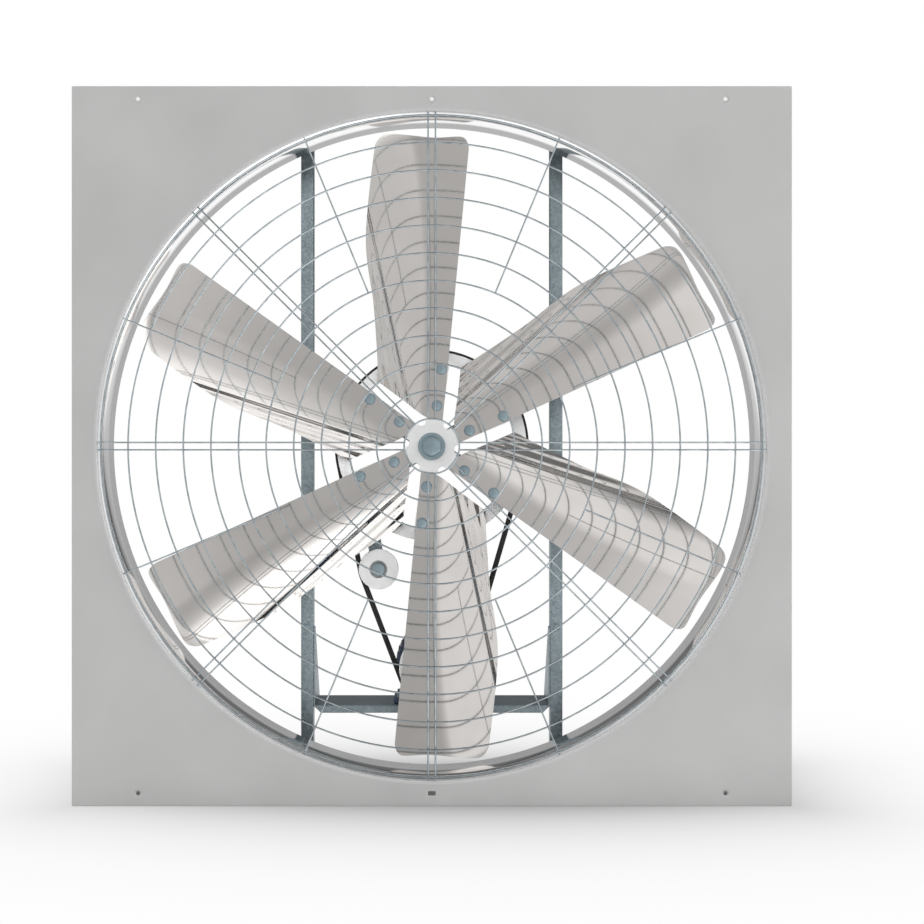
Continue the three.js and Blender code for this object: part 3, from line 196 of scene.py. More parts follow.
# A stop is a height, from 0 straight down over 0.5 at eye level to 1 straight up, and its grey.
room_behind = board.ramp(height * 0.5 + 0.5, (0.45, 1), (0.5, 0.5), (0.56, 0.12), (1, 0.3))
below = [(0.23, 1), (0.31, 0.58), (0.42, 0.46)]
above = [(0.57, 0.52), (0.78, 0.5), (0.88, 0.1)]
room_ahead = board.ramp(leaning_height * 0.5 + 0.5, *below, *above)
facing = board.band(sideways.part("Y"), -0.25, 0.25, interpolation_type="SMOOTHSTEP")
seen = board.node("ShaderNodeLightPath")
shown = board.blend(seen, board.blend(facing, room_ahead, room_behind), grey(1.0))
aside = board.node("ShaderNodeClamp", {0: sideways, 1: -0.16, 2: 0.16})
brighter = (1.0 - facing) * aside * (1.4 + aside * 22.0)
strength = (1.0 + seen.part("Is Diffuse Ray") * 2.2) * (1.0 + brighter)
background = board.node("ShaderNodeBackground", {"Color": shown, "Strength": strength})
board.node("ShaderNodeOutputWorld", {"Surface": background})
print("the world's tree has", len(board.tree.nodes), "nodes")

# %% Floor
floor_reach = 30
floor_mesh = bpy.data.meshes.new("floor")
corners = [(-1, -1), (1, -1), (1, 1), (-1, 1)]
floor_mesh.from_pydata([(x * floor_reach, y * floor_reach, 0) for x, y in corners], [], [(0, 1, 2, 3)])
floor = bpy.data.objects.new("floor", floor_mesh)
scene.collection.objects.link(floor)
floor_mesh.materials.append(bpy.data.materials.new("white floor"))
floor_mesh.materials[0].use_nodes = True
board = Board(floor_mesh.materials[0].node_tree)
spot = board.node("ShaderNodeTexCoord").part("Object")
across = board.node("ShaderNodeSeparateXYZ", {0: spot})
footprint = (half / 1000, middle_depth / 1000, 0)
outside = board.vector("SUBTRACT", board.vector("ABSOLUTE", spot), footprint)
away = board.vector("LENGTH", board.vector("MAXIMUM", outside, (0, 0, 0)))
aside = across.part("X") - 0.1
shadow = 0.6 * board.power_of_e(away * -4.5 - aside * aside * 1.2)
along = board.band(across.part("Y"), -8.0, 12.0)
# A stop is a place along the depth, from 8 m in front to 12 m behind, and its grey.
in_front = [(0.352, 0.38), (0.378, 1), (0.405, 1)]
in_the_rear = [(0.43, 0.35), (0.57, 0.35), (0.7, 1)]
lit = board.ramp(along, *in_front, *in_the_rear)
eye = board.node("ShaderNodeLightPath")
level = (1.0 - shadow) * (eye + (1.0 - eye) * lit * 0.35)
paint = board.node("ShaderNodeEmission", {"Color": level})
missed = eye.part("Is Glossy Ray") * (1.0 - board.power_of_e(away * -6.0))
clear = board.node("ShaderNodeBsdfTransparent")
ground = board.node("ShaderNodeMixShader", {0: missed, 1: paint, 2: clear})
board.node("ShaderNodeOutputMaterial", {"Surface": ground})
print("a floor of", 2 * floor_reach, "m across")

# %% [markdown]
# ## Finishes
# Fifteen finishes cover the fan. Each is a Principled shader whose colour and roughness drift a little,
# at the scale that the real surface shows: rolled grain in sheet, spangle in zinc, turning marks on
# machined faces. Patterns read the piece's own coordinates, so they stay put from every side.

# %% Finish
class Finish(Board):
    """A material with the patterns that several finishes share."""

    def __init__(self, name):
        self.material = bpy.data.materials.new(name)
        self.material.use_nodes = True
        super().__init__(self.material.node_tree)
        self.place = self.node("ShaderNodeTexCoord").part("Object")

    def noise(self, scale, detail=3.0, stretch=(1, 1, 1), place=None):
        spot = self.node("ShaderNodeMapping", {"Vector": place or self.place, "Scale": stretch})
        return self.node("ShaderNodeTexNoise", {"Vector": spot, "Scale": scale, "Detail": detail})

    def radius(self, centre):
        """Distance from an axis that runs back through a point, in metres."""
        spot = self.vector("SUBTRACT", self.place, centre)
        return self.vector("LENGTH", self.vector("MULTIPLY", spot, (1, 0, 1)))

    def surface(self, colour, metallic, roughness, bump, strength, distance=0.0002, **fixed):
        relief = {"Height": bump, "Strength": strength, "Distance": distance}
        sockets = {"Base Color": colour, "Metallic": metallic, "Roughness": roughness}
        sockets["Normal"] = self.node("ShaderNodeBump", relief)
        sockets.update({name.replace("_", " "): value for name, value in fixed.items()})
        shader = self.node("ShaderNodeBsdfPrincipled", sockets)
        self.node("ShaderNodeOutputMaterial", {"Surface": shader})
        return self.material


# %% Clouded finishes
fan_axis = (0, 0, half / 1000)


def clouded(name, clouds, span, dark, light, metallic, roughness, drift, relief, grain=None, **fixed):
    """A finish whose tone and roughness drift with the same clouds; a grain of its own may raise it."""
    f = Finish(name)
    tone = f.noise(*clouds)
    bump = f.noise(*grain) if grain else tone
    colour = f.blend(f.band(tone, *span), dark, light)
    return f.surface(colour, metallic, roughness + tone * drift, bump, relief, **fixed)


def guard_wire():
    dark, light = (0.4, 0.45, 0.48, 1), (0.6, 0.66, 0.69, 1)
    return clouded("bright plated wire", (60, 3), (0.35, 0.7), dark, light, 1.0, 0.16, 0.12, 0.1)


def belt_rubber():
    dark, light = grey(0.012), grey(0.035)
    return clouded("belt rubber", (25, 4), (0.45, 0.8), dark, light, 0.0, 0.62, 0.15, 0.25, (1400, 2))


def black_plastic():
    dark, light = grey(0.012), grey(0.024)
    return clouded("moulded black plastic", (900, 3), (0.3, 0.7), dark, light, 0.0, 0.46, 0.12, 0.25)


def motor_paint():
    dark, light = (0.014, 0.035, 0.085, 1), (0.024, 0.055, 0.12, 1)
    coat = {"Coat_Weight": 0.35, "Coat_Roughness": 0.15}
    peel = (420, 2)
    return clouded("blue motor enamel", (20, 3), (0.3, 0.7), dark, light, 0.0, 0.38, 0.08, 0.12, peel, **coat)


# %% Sheet metals
def panel_steel(name="satin panel", level=0.53, metallic=0.4, roughness=0.38, polished=False):
    """Satin sheet; in the throat the spinning tool has polished it, from the roll inwards."""
    f = Finish(name)
    grain = f.noise(900, 2, (1, 1, 0.03))
    clouds = f.noise(5, 4)
    colour = f.blend(f.band(clouds, 0.3, 0.7), grey(level - 0.03, 0.006), grey(level + 0.02, 0.006))
    rough = roughness + clouds * 0.06 + grain * 0.03
    if polished:
        inwards = f.band(f.radius(fan_axis), 0.65, 0.636)
        rough = rough - 0.33 * inwards
        metallic = metallic + 0.58 * inwards
        colour = f.blend(inwards, colour, grey(0.94))
    return f.surface(colour, metallic, rough, grain, 0.08, 0.0001)


def galvanised_steel():
    f = Finish("galvanised zinc")
    spangle = f.node("ShaderNodeTexVoronoi", {"Vector": f.place, "Scale": 260.0}).part("Color")
    tone = f.node("ShaderNodeSeparateColor", {0: spangle})
    clouds = f.noise(40, 4)
    mix = tone * 0.6 + clouds * 0.5
    colour = f.blend(f.band(mix, 0.2, 0.95), (0.24, 0.3, 0.33, 1), (0.42, 0.49, 0.52, 1))
    return f.surface(colour, 0.75, 0.34 + tone * 0.16, mix, 0.15)


def stainless_steel():
    f = Finish("polished stainless")
    run = f.node("ShaderNodeTexCoord").part("UV")
    grain = f.noise(1.0, 2, (18, 1500, 1), run)
    clouds = f.noise(9, 3)
    colour = f.blend(f.band(clouds, 0.3, 0.7), (0.72, 0.69, 0.665, 1), (0.8, 0.772, 0.75, 1))
    return f.surface(colour, 1.0, 0.04 + clouds * 0.04 + grain * 0.03, grain, 0.03, 0.00005)


# %% Turned finishes, and the list of all
def turned_metal(name, dark, light, metallic, roughness, centre=fan_axis):
    """A finish with the fine rings that a lathe leaves around an axis."""
    f = Finish(name)
    turns = {"W": f.radius(centre) * 2600.0, "Detail": 2.0}
    rings = f.node("ShaderNodeTexNoise", turns, noise_dimensions="1D")
    clouds = f.noise(30, 4)
    share = f.band(rings * 0.4 + clouds * 0.6, 0.3, 0.7)
    return f.surface(f.blend(share, dark, light), metallic, roughness + clouds * 0.1, rings, 0.08)


# The level is painted light and shade: one cast alloy is set darker on the hub disc and the idler, which
# stand in more light, and brightest on the pulleys, which stand in shade.
def cast_alloy(centre=fan_axis, level=0.93):
    return turned_metal("cast alloy", grey(level - 0.03), grey(level + 0.03), 0.1, 0.34, centre)


def zinc_fastener():
    return turned_metal("zinc plating", (0.26, 0.35, 0.39, 1), (0.38, 0.47, 0.51, 1), 0.8, 0.3)


def ground_steel():
    return turned_metal("ground steel", grey(0.42), grey(0.55), 1.0, 0.18)


finishes = {
    "panel": ("panel_steel", panel_steel()),
    "throat": ("panel_steel", panel_steel("burnished throat", polished=True)),
    "sheet": ("galvanised_steel", panel_steel("bright zinc sheet", 0.78, 0.95, 0.09)),
    "zinc": ("galvanised_steel", galvanised_steel()),
    "wire": ("guard_wire", guard_wire()),
    "stainless": ("stainless_steel", stainless_steel()),
    "alloy": ("cast_pulley", cast_alloy()),
    # painted shade: the disc's alloy is darker than the pulley's because the disc stands in more light
    "disc alloy with painted shade": ("cast_pulley", cast_alloy(level=0.77)),
    "fastener": ("fastener_steel", zinc_fastener()),
    "bearing": ("bearing_steel", ground_steel()),
    "rubber": ("belt_rubber", belt_rubber()),
    "paint": ("motor_paint", motor_paint()),
    "plastic": ("black_plastic", black_plastic()),
}
print(len(finishes), "finishes, each with the name of its slot")

# %% [markdown]
# ## From corners to pieces
# Sheet metal, turned parts and bars need only three helpers: a plate cut from an outline, a profile
# turned round an axis, and a block. Each gives a `Shape`, a plain list of corners and faces that can be
# moved, swung and added. `finish_piece` turns it into an object: it merges doubles, turns the faces out,
# smooths the rounded edges, ties the object to its body (one that spans two bodies is only baked in
# place) and hides the CAD nodes that it stands for.

# %% Shape
class Shape:
    """Corners and faces in the working coordinates."""

    def __init__(self, corners, faces):
        self.corners = [Vector(corner) for corner in corners]
        self.faces = [tuple(face) for face in faces]

    def __add__(self, other):
        start = len(self.corners)
        faces = [tuple(index + start for index in face) for face in other.faces]
        return Shape(self.corners + other.corners, self.faces + faces)

    def changed(self, matrix):
        return Shape([matrix @ corner for corner in self.corners], self.faces)

    def moved(self, across=0, depth=0, up=0):
        return self.changed(Matrix.Translation((across, depth, up)))

    def rolled(self, angle, axis):
        return self.changed(Matrix.Rotation(angle, 4, axis))

    def swung(self, angle):
        """Turned about the fan's axis, from right to up."""
        return self.rolled(-angle, "Y")

    def mesh(self, name="shape"):
        made = bpy.data.meshes.new(name)
        made.from_pydata(self.corners, [], self.faces)
        return made

# %% Rings of copies and of faces
def around(shape, count, start=0.0):
    turns = (shape.swung(start + index * 2 * pi / count) for index in range(count))
    return sum(turns, Shape([], []))


def ring_faces(low, high, count):
    """The faces between two rings of corners, given by their first corners."""
    pairs = [(side, (side + 1) % count) for side in range(count)]
    return [(low + here, low + there, high + there, high + here) for here, there in pairs]


# %% Soft corners
def softened(points, radius, steps=4, margin=0.0):
    """A closed outline whose corners are rounded off by arcs, with a short straight beside each."""
    made = []
    for index, corner in enumerate(points):
        here = Vector(corner)
        before = Vector(points[index - 1]) - here
        after = Vector(points[(index + 1) % len(points)]) - here
        angle = before.angle(after)
        full = radius * cos(angle / 2) / sin(angle / 2)
        reach = min(full, before.length * 0.45, after.length * 0.45)
        if angle > pi - 0.02 or reach < 1e-3:
            made.append(tuple(here))
            continue
        start = here + before.normalized() * reach
        end = here + after.normalized() * reach
        if margin:
            made.append(tuple(start + before.normalized() * margin))
        for step in range(steps + 1):
            share = step / steps
            bend = start.lerp(here, share).lerp(here.lerp(end, share), share)
            made.append(tuple(bend))
        if margin:
            made.append(tuple(end + after.normalized() * margin))
    return made

# %% Plain outlines
def circle(radius, centre=(0, 0), sides=64):
    angles = [2 * pi * side / sides for side in range(sides)]
    return [(centre[0] + radius * cos(angle), centre[1] + radius * sin(angle)) for angle in angles]


def rectangle(low, high):
    return [(low[0], low[1]), (high[0], low[1]), (high[0], high[1]), (low[0], high[1])]


def rounded(low, high, radius, steps=4):
    return softened(rectangle(low, high), radius, steps)


def squared(reach, radius):
    return rounded((-reach, -reach), (reach, reach), radius)


def mirrored(profile, middle):
    """A turned profile and its mirror image across the plane at a depth."""
    return [*profile, *((radius, 2 * middle - depth) for radius, depth in reversed(profile))]

# %% Area and inset
def area(outline):
    pairs = zip(outline, outline[1:] + outline[:1])
    return sum(a[0] * b[1] - b[0] * a[1] for a, b in pairs) / 2


def inset(outline, by):
    """Each corner moved to the left of the way that the outline runs."""
    made = []
    for index, corner in enumerate(outline):
        here = Vector(corner)
        one = (here - Vector(outline[index - 1])).normalized()
        two = (Vector(outline[(index + 1) % len(outline)]) - here).normalized()
        left = Vector((-one.y - two.y, one.x + two.x))
        made.append(tuple(here + left * (by / max(0.3, 1 + one.dot(two)))))
    return made


# %% Plate and block
facings = {
    "front": Matrix(((1, 0, 0, 0), (0, 0, 1, 0), (0, 1, 0, 0), (0, 0, 0, 1))),  # outline (across, up)
    "top": Matrix.Identity(4),  # outline (across, depth)
    "side": Matrix(((0, 0, 1, 0), (1, 0, 0, 0), (0, 1, 0, 0), (0, 0, 0, 1))),  # outline (depth, up)
}


flat_margin = 0.15  # a narrow flat band beside each rounded edge keeps the shading of the flat face true


def plate(outline, span, facing="front", edge=0.4, holes=(), steps=2, square=()):
    """A flat plate with its holes, whose edges are rounded off a little, but not at the square holes."""
    loops = [outline if area(outline) > 0 else outline[::-1]]
    loops += [hole if area(hole) < 0 else hole[::-1] for hole in (*holes, *square)]
    soft_loops = len(loops) - len(square)
    moved = lambda by: [inset(loop, by if place < soft_loops else 0) for place, loop in enumerate(loops)]
    near, far = span
    turns = [step / steps * pi / 2 for step in range(steps + 1)]
    levels = [(edge + flat_margin, near)]
    levels += [(edge * (1 - sin(turn)), near + edge * (1 - cos(turn))) for turn in turns]
    levels += [(by, far - (level - near)) for by, level in reversed(levels)]
    corners, faces, starts = [], [], []
    for by, level in levels:
        starts.append(len(corners))
        corners += [(x, y, level) for loop in moved(by) for x, y in loop]
    flat = [[Vector((x, y, 0)) for x, y in loop] for loop in moved(levels[0][0])]
    cap = tessellate_polygon(flat)
    faces += [tuple(reversed(triangle)) for triangle in cap]
    faces += [tuple(index + starts[-1] for index in triangle) for triangle in cap]
    for low, high in zip(starts, starts[1:]):
        for loop in loops:
            faces += ring_faces(low, high, len(loop))
            low, high = low + len(loop), high + len(loop)
    return Shape(corners, faces).changed(facings[facing])


def block(across, depth, up, edge=0.5, corner=0.0):
    outline = rectangle((across[0], up[0]), (across[1], up[1]))
    if corner:
        outline = softened(outline, corner)
    return plate(outline, depth, edge=edge)

# %% Lathe, rod and bolt head
def turned(profile, centre=(0, 0), sides=96, soft=0.0):
    """A closed profile of (radius, depth) points, turned round an axis that runs back."""
    if soft:
        profile = softened(profile, soft, 3, 0.04 * soft)
    corners, rings, faces = [], [], []
    for radius, depth in profile:
        count = 1 if radius < 1e-4 else sides
        rings.append([len(corners) + side for side in range(count)])
        angles = [2 * pi * side / sides for side in range(count)]
        corners += [(radius * cos(angle), depth, radius * sin(angle)) for angle in angles]
    for near, far in zip(rings, rings[1:] + rings[:1]):
        for side in range(sides):
            after = (side + 1) % sides
            places = [(near, side), (near, after), (far, after), (far, side)]
            face = list(dict.fromkeys(ring[place % len(ring)] for ring, place in places))
            if len(face) > 2:
                faces.append(face)
    return Shape(corners, faces).moved(centre[0], 0, centre[1])


def rod(radius, span, sides=32, edge=0.5):
    near, far = span
    profile = [(0, near), (radius - edge, near), (radius, near + edge), (radius, far - edge)]
    profile += [(radius - edge, far), (0, far)]
    return turned(profile, sides=sides)


def hexagon(flats, head, rear, crown=0.93):
    """A hexagon head, whose corners are cut back by a cone as on a real bolt."""
    sides = 48
    reach, level = [], []
    for side in range(sides):
        angle = 2 * pi * side / sides
        radius = flats / 2 / cos((angle + pi / 6) % (pi / 3) - pi / 6)
        reach.append((radius * cos(angle), radius * sin(angle)))
        level.append(rear - head + max(0.0, radius - crown * flats / 2) * 0.55)
    corners = [(x, rear, z) for x, z in reach]
    corners += [(x, depth, z) for (x, z), depth in zip(reach, level)]
    corners += [(x, rear - head, z) for x, z in circle(crown * flats / 2, sides=sides)]
    faces = [tuple(range(sides)), tuple(range(3 * sides - 1, 2 * sides - 1, -1))]
    faces += ring_faces(0, sides, sides) + ring_faces(sides, 2 * sides, sides)
    return Shape(corners, faces)


# %% From a shape to a piece of the fan
def finish_piece(name, shape, finish, nodes=(), body="housing", smooth=32, across=None):
    """A finished object that rides its body; one given `across` with a second body and two ends is only baked
    in place.
    """
    slot, material = finishes[finish]
    mesh = shape.mesh(name) if isinstance(shape, Shape) else shape
    mesh.name = name
    cleaned = bmesh.new()
    cleaned.from_mesh(mesh)
    bmesh.ops.remove_doubles(cleaned, verts=cleaned.verts, dist=0.002)
    bmesh.ops.recalc_face_normals(cleaned, faces=cleaned.faces)
    cleaned.to_mesh(mesh)
    cleaned.free()
    mesh.transform(to_frame)
    mesh.shade_smooth()
    mesh.set_sharp_from_angle(angle=radians(smooth))
    mesh.materials.clear()
    mesh.materials.append(material)
    piece = bpy.data.objects.new(name, mesh)
    scene.collection.objects.link(piece)
    if across:
        second, start, end = across
        tuple(to_frame @ Vector(start))
        tuple(to_frame @ Vector(end))
        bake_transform(piece)
    else:
        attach(piece, body)
    if nodes:
        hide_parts(*nodes)
    print(f"{name}: {len(mesh.polygons)} faces")
    return piece


# %% [markdown]
# ## Repeats with Geometry Nodes
# A bolt, fin or wire that comes many times is drawn once and copied by a node tree. The tree's input mesh
# says where: each loose point is a place. An array modifier would do for one row, but not for a ring.

# %% Starting and closing a tree
def new_tree(name, sizes):
    """An empty tree with its named inputs, as (board, group input signal)."""
    tree = bpy.data.node_groups.new(name, "GeometryNodeTree")
    tree.interface.new_socket("Geometry", in_out="INPUT", socket_type="NodeSocketGeometry")
    tree.interface.new_socket("Geometry", in_out="OUTPUT", socket_type="NodeSocketGeometry")
    for label, kind in sizes.items():
        tree.interface.new_socket(label, in_out="INPUT", socket_type="NodeSocket" + kind)
    board = Board(tree)
    return board, board.node("NodeGroupInput")


def close_tree(board, geometry, finish):
    whole = board.node("GeometryNodeRealizeInstances", {"Geometry": geometry})
    dressed = board.node("GeometryNodeSetMaterial", {"Geometry": whole, "Material": finish})
    board.node("NodeGroupOutput", {"Geometry": dressed})
    return board.tree

# %% Running a tree
def grown(base, tree, sizes):
    """The plain mesh that a tree makes from a base mesh."""
    holder = bpy.data.objects.new("holder", base)
    scene.collection.objects.link(holder)
    modifier = holder.modifiers.new("grown", "NODES")
    modifier.node_group = tree
    for item in tree.interface.items_tree:
        if item.in_out == "INPUT" and item.name in sizes:
            modifier[item.identifier] = sizes[item.name]
    holder.update_tag()
    bpy.context.view_layer.update()
    graph = bpy.context.evaluated_depsgraph_get()
    mesh = bpy.data.meshes.new_from_object(holder.evaluated_get(graph))
    holder.modifiers.remove(modifier)
    bpy.data.objects.remove(holder)
    return mesh

# %% The tree that copies a shape to points
board, inputs = new_tree("copies", {"Master": "Object", "Finish": "Material"})
master = board.node("GeometryNodeObjectInfo", {"Object": inputs.part("Master")}).part("Geometry")
turn = board.node("GeometryNodeInputNamedAttribute", {"Name": "turn"}, data_type="FLOAT")
spin = board.node("ShaderNodeCombineXYZ", {"Y": turn * -1.0})
spots = board.node("GeometryNodeMeshToPoints", {"Mesh": inputs.part("Geometry")})
copied = board.placed(spots, master, Rotation=spin)
copy_tree = close_tree(board, copied, inputs.part("Finish"))
print("the copying tree has", len(copy_tree.nodes), "nodes")

# %% Copies and fasteners
def copies(shape, points, finish, angles=None):
    """A shape copied to points by the tree as one mesh, each turned by its angle about the depth axis."""
    places = Shape(points, []).mesh("places")
    places.attributes.new("turn", "FLOAT", "POINT").data.foreach_set("value", angles or [0.0] * len(points))
    drawn = bpy.data.objects.new("master", shape.mesh())
    mesh = grown(places, copy_tree, {"Master": drawn, "Finish": finishes[finish][1]})
    bpy.data.objects.remove(drawn)
    return mesh


def fasteners(name, shape, places, nodes=(), body="housing", angles=None):
    """Bolts or screws, copied to their places as one piece."""
    finish_piece(name, copies(shape, places, "fastener", angles), "fastener", nodes, body)


def shape_of(mesh):
    return Shape([vertex.co for vertex in mesh.vertices], [tuple(face.vertices) for face in mesh.polygons])


# %% [markdown]
# ## Front panel and bell mouth
# The panel is one sheet, folded back at its four edges, with a large round opening. The bell mouth is a
# ring of the same sheet, spun over a former: a flat rim, a quarter roll and a plain throat. A profile
# turned round the axis gives the roll its true radius, so its highlight runs cleanly round the opening.

# %% Front panel
sheet = 2.0
seat = 0.3
throat_radius = half - 60
roll_radius = 17.0
roll_outer = throat_radius + roll_radius
mouth_radius = roll_outer + 8
throat_depth = 119.0
flange_depth = 30.0
hole_across = half - 127
hole_up = half - 24.5
hole_places = [(x, z) for z in (hole_up, -hole_up) for x in (-hole_across, 0, hole_across)]
hole_places.remove((0, -hole_up))
dimple = 6.6
face_holes = [circle(dimple, place, 32) for place in hole_places]
slot_hole = rounded((-7, -hole_up - 4), (7, -hole_up + 4), 1.2)
face_holes.append(slot_hole)
mouth_hole = circle(mouth_radius + 0.02, sides=240)
face = squared(half, 2.5)
face_plate = plate(face, (0, sheet), edge=1.1, holes=face_holes, steps=3, square=[mouth_hole])

fold_out = half - sheet - seat
fold_in = fold_out - sheet
flange = plate(squared(fold_out, 4), (sheet / 2, flange_depth), holes=[squared(fold_in, 2)])

rim_profile = [(dimple + 0.3, 0), (dimple + 0.3, 0.9), (4.6, sheet), (4.0, sheet), (4.0, 1.5), (5.6, 0.35)]
eyelet = turned(rim_profile, sides=28)
eyelets = shape_of(copies(eyelet, [(x, 0, z) for x, z in hole_places], "panel"))
finish_piece("panel_sheet", face_plate + flange + eyelets, "panel", ["front_panel"])

# %% Bell mouth
quarter = [step / 12 * pi / 2 for step in range(13)]


def roll(radius):
    return [(roll_outer - radius * sin(turn), roll_radius - radius * cos(turn)) for turn in quarter]


bead = 2.5  # the throat's rear edge is turned out a little, which stiffens it
edge_bend = throat_depth - 2 * bead
mouth_faces = []
for back in (0, sheet):
    mouth_faces.append([(mouth_radius, back), *roll(roll_radius - back)])
    mouth_faces[-1] += [(throat_radius + back, edge_bend), (throat_radius + back + bead, throat_depth)]
mouth = turned(mouth_faces[0] + mouth_faces[1][::-1], sides=240)
finish_piece("bell_mouth_ring", mouth, "throat", ["bell_mouth"])

# %% [markdown]
# ## Housing walls
# Four plain sheets close the box behind the panel. Each has a narrow hem at the rear, and is fixed to the
# panel's flange by a row of flush rivets, set in dimples so that nothing stands proud of the outside.

# %% Housing walls
housing_depth = 400.0
hem = 6.0
rivet_radius = 3.6
rivet_spacing = (panel_side - 120) / 8
rivet_rows = [-half + 60 + index * rivet_spacing for index in range(9)]
rivet_depth = flange_depth / 2 + 1


def wall(reach, rear, hem_reach, hem_span):
    """A wall drawn flat as the bottom one: across and depth, with its rear hem turned up."""
    outline = rounded((-reach, sheet + seat), (reach, rear), 0.8)
    holes = [circle(rivet_radius + 0.4, (x, rivet_depth), 20) for x in rivet_rows]
    sheet_shape = plate(outline, (-half, -half + sheet), "top", 0.35, holes)
    lip = plate(rectangle((-hem_reach, -half), (hem_reach, -half + hem)), hem_span, edge=0.5)
    return sheet_shape + lip


def rivet():
    head = [(0, 0.25), (1.6, 0.3), (rivet_radius - 0.6, 0.55)]
    head += [(rivet_radius, 1.0), (rivet_radius, 1.7), (0, 1.7)]
    return turned(head, sides=20).rolled(pi / 2, "X").moved(up=-half)


inner_reach = half - sheet - seat
inner_rear = housing_depth - sheet - seat
bottom_hem = (housing_depth - 2 * sheet, housing_depth)
bottom_wall = wall(inner_reach, inner_rear, half - hem - seat, bottom_hem)
side_wall = wall(half, housing_depth, half, (housing_depth - sheet, housing_depth))
rivets = shape_of(copies(rivet(), [(x, rivet_depth, 0) for x in rivet_rows], "fastener"))
all_rivets = around(rivets, 4)
for quarters, side in enumerate(["bottom", "right", "top", "left"]):
    shape = (side_wall if quarters % 2 else bottom_wall).swung(quarters * pi / 2)
    finish_piece(f"housing_{side}_sheet", shape, "sheet", [f"housing_{side}"])
finish_piece("housing_rivets", all_rivets, "fastener")

# %% [markdown]
# ## Inlet guard
# The guard is welded from one size of wire: twelve rings, eight pairs of long spokes whose ends turn back
# onto the bell mouth, and eight single spokes that start at the sixth ring. It all follows from a pitch
# and a wire size, so a node tree makes it. Its base mesh holds one pair of spokes and a single one as
# edges, and their welds as loose points. The tree copies them round the axis, adds the rings, and sweeps
# a round section along every wire.

# %% The guard's sizes and a spoke
wire = 3.2
ring_count = 12
ring_pitch = (throat_radius + 2.4) / ring_count
spoke_depth = -9 - wire / 2
ring_depth = spoke_depth - wire + 0.6
pair_offset = 7.05
spoke_pairs = 8
short_from = 6
foot_end = ring_pitch * ring_count + 8.5 - wire / 2
landing = roll_radius - sqrt(roll_radius**2 - max(0, roll_outer - foot_end) ** 2) - seat - wire * 0.2


def spoke_points(start, sideways, angle, foot):
    reach = foot_end if foot else ring_pitch * ring_count + wire / 2
    bend = 3.2
    points = [(start, spoke_depth, sideways), (reach - bend if foot else reach, spoke_depth, sideways)]
    if foot:
        points.append((reach - bend * 0.3, spoke_depth + bend * 0.3, sideways))
        points += [(reach, spoke_depth + bend, sideways), (reach, landing, sideways)]
    return Shape(points, []).swung(angle).corners

# %% One eighth as edges and points
def guard_eighth():
    corners, edges = [], []
    wires = [(ring_pitch - wire / 2, side, 0.0, True) for side in (-pair_offset, pair_offset)]
    wires.append((ring_pitch * short_from, 0.0, pi / spoke_pairs, False))
    for start, sideways, angle, foot in wires:
        points = spoke_points(start, sideways, angle, foot)
        edges += [(len(corners) + step, len(corners) + step + 1) for step in range(len(points) - 1)]
        corners += points
    for start, sideways, angle, _ in wires:
        first = round((start + wire) / ring_pitch)
        for ring in range(max(1, first), ring_count + 1):
            reach = sqrt((ring * ring_pitch) ** 2 - sideways**2)
            weld = Shape([(reach, (spoke_depth + ring_depth) / 2, sideways)], []).swung(angle)
            corners += weld.corners
    mesh = bpy.data.meshes.new("guard eighth")
    mesh.from_pydata(corners, edges, [])
    return mesh


# %% The guard's tree
guard_sizes = {
    "Wire": ("Float", wire),
    "Pitch": ("Float", ring_pitch),
    "Rings": ("Int", ring_count),
    "Pairs": ("Int", spoke_pairs),
    "Ring depth": ("Float", ring_depth),
    "Finish": ("Material", finishes["wire"][1]),
}
g, inputs = new_tree("inlet guard", {label: kind for label, (kind, _) in guard_sizes.items()})


def spots_for(count):
    sockets = {"Count": inputs.part(count), "Offset": (0, 0, 0)}
    return g.node("GeometryNodeMeshLine", sockets, mode="OFFSET")


index = g.node("GeometryNodeInputIndex")
ring_size = (index + 1.0) * inputs.part("Pitch")
ring_scale = g.node("ShaderNodeCombineXYZ", {"X": ring_size, "Y": ring_size, "Z": 1.0})
unit_ring = g.node("GeometryNodeCurvePrimitiveCircle", {"Resolution": 160, "Radius": 1.0})
flat_rings = g.placed(spots_for("Rings"), unit_ring, Scale=ring_scale)
upright_rings = {
    "Geometry": g.node("GeometryNodeRealizeInstances", {"Geometry": flat_rings}),
    "Translation": g.node("ShaderNodeCombineXYZ", {"Y": inputs.part("Ring depth")}),
    "Rotation": (pi / 2, 0, 0),
}
rings = g.node("GeometryNodeTransform", upright_rings)
neighbours = g.node("GeometryNodeInputMeshVertexNeighbors")
loose = g.node("FunctionNodeCompare", {2: neighbours, 3: 0}, data_type="INT", operation="EQUAL")
split = g.node("GeometryNodeSeparateGeometry", {"Geometry": inputs.part("Geometry"), "Selection": loose})
spoke_lines = g.node("GeometryNodeMeshToCurve", {"Mesh": split.part("Inverted")})
nugget = g.node("GeometryNodeMeshIcoSphere", {"Radius": inputs.part("Wire") * 0.62, "Subdivisions": 1})
weld_spots = g.node("GeometryNodeMeshToPoints", {"Mesh": split.part("Selection")})
turns = g.node("ShaderNodeCombineXYZ", {"Y": index * (2 * pi) / inputs.part("Pairs")})
spreads = []
for part in (spoke_lines, g.placed(weld_spots, nugget)):
    spread = g.placed(spots_for("Pairs"), part, Rotation=turns)
    spreads.append(g.node("GeometryNodeRealizeInstances", {"Geometry": spread}))
wires = g.node("GeometryNodeJoinGeometry", {"Geometry": [rings, spreads[0]]})
welded = [g.swept(wires, inputs.part("Wire"), 10), spreads[1]]
guard_tree = close_tree(g, g.node("GeometryNodeJoinGeometry", {"Geometry": welded}), inputs.part("Finish"))
guard = grown(guard_eighth(), guard_tree, {label: value for label, (_, value) in guard_sizes.items()})
finish_piece("guard_wires", guard, "wire", ["inlet_guard"], smooth=60)

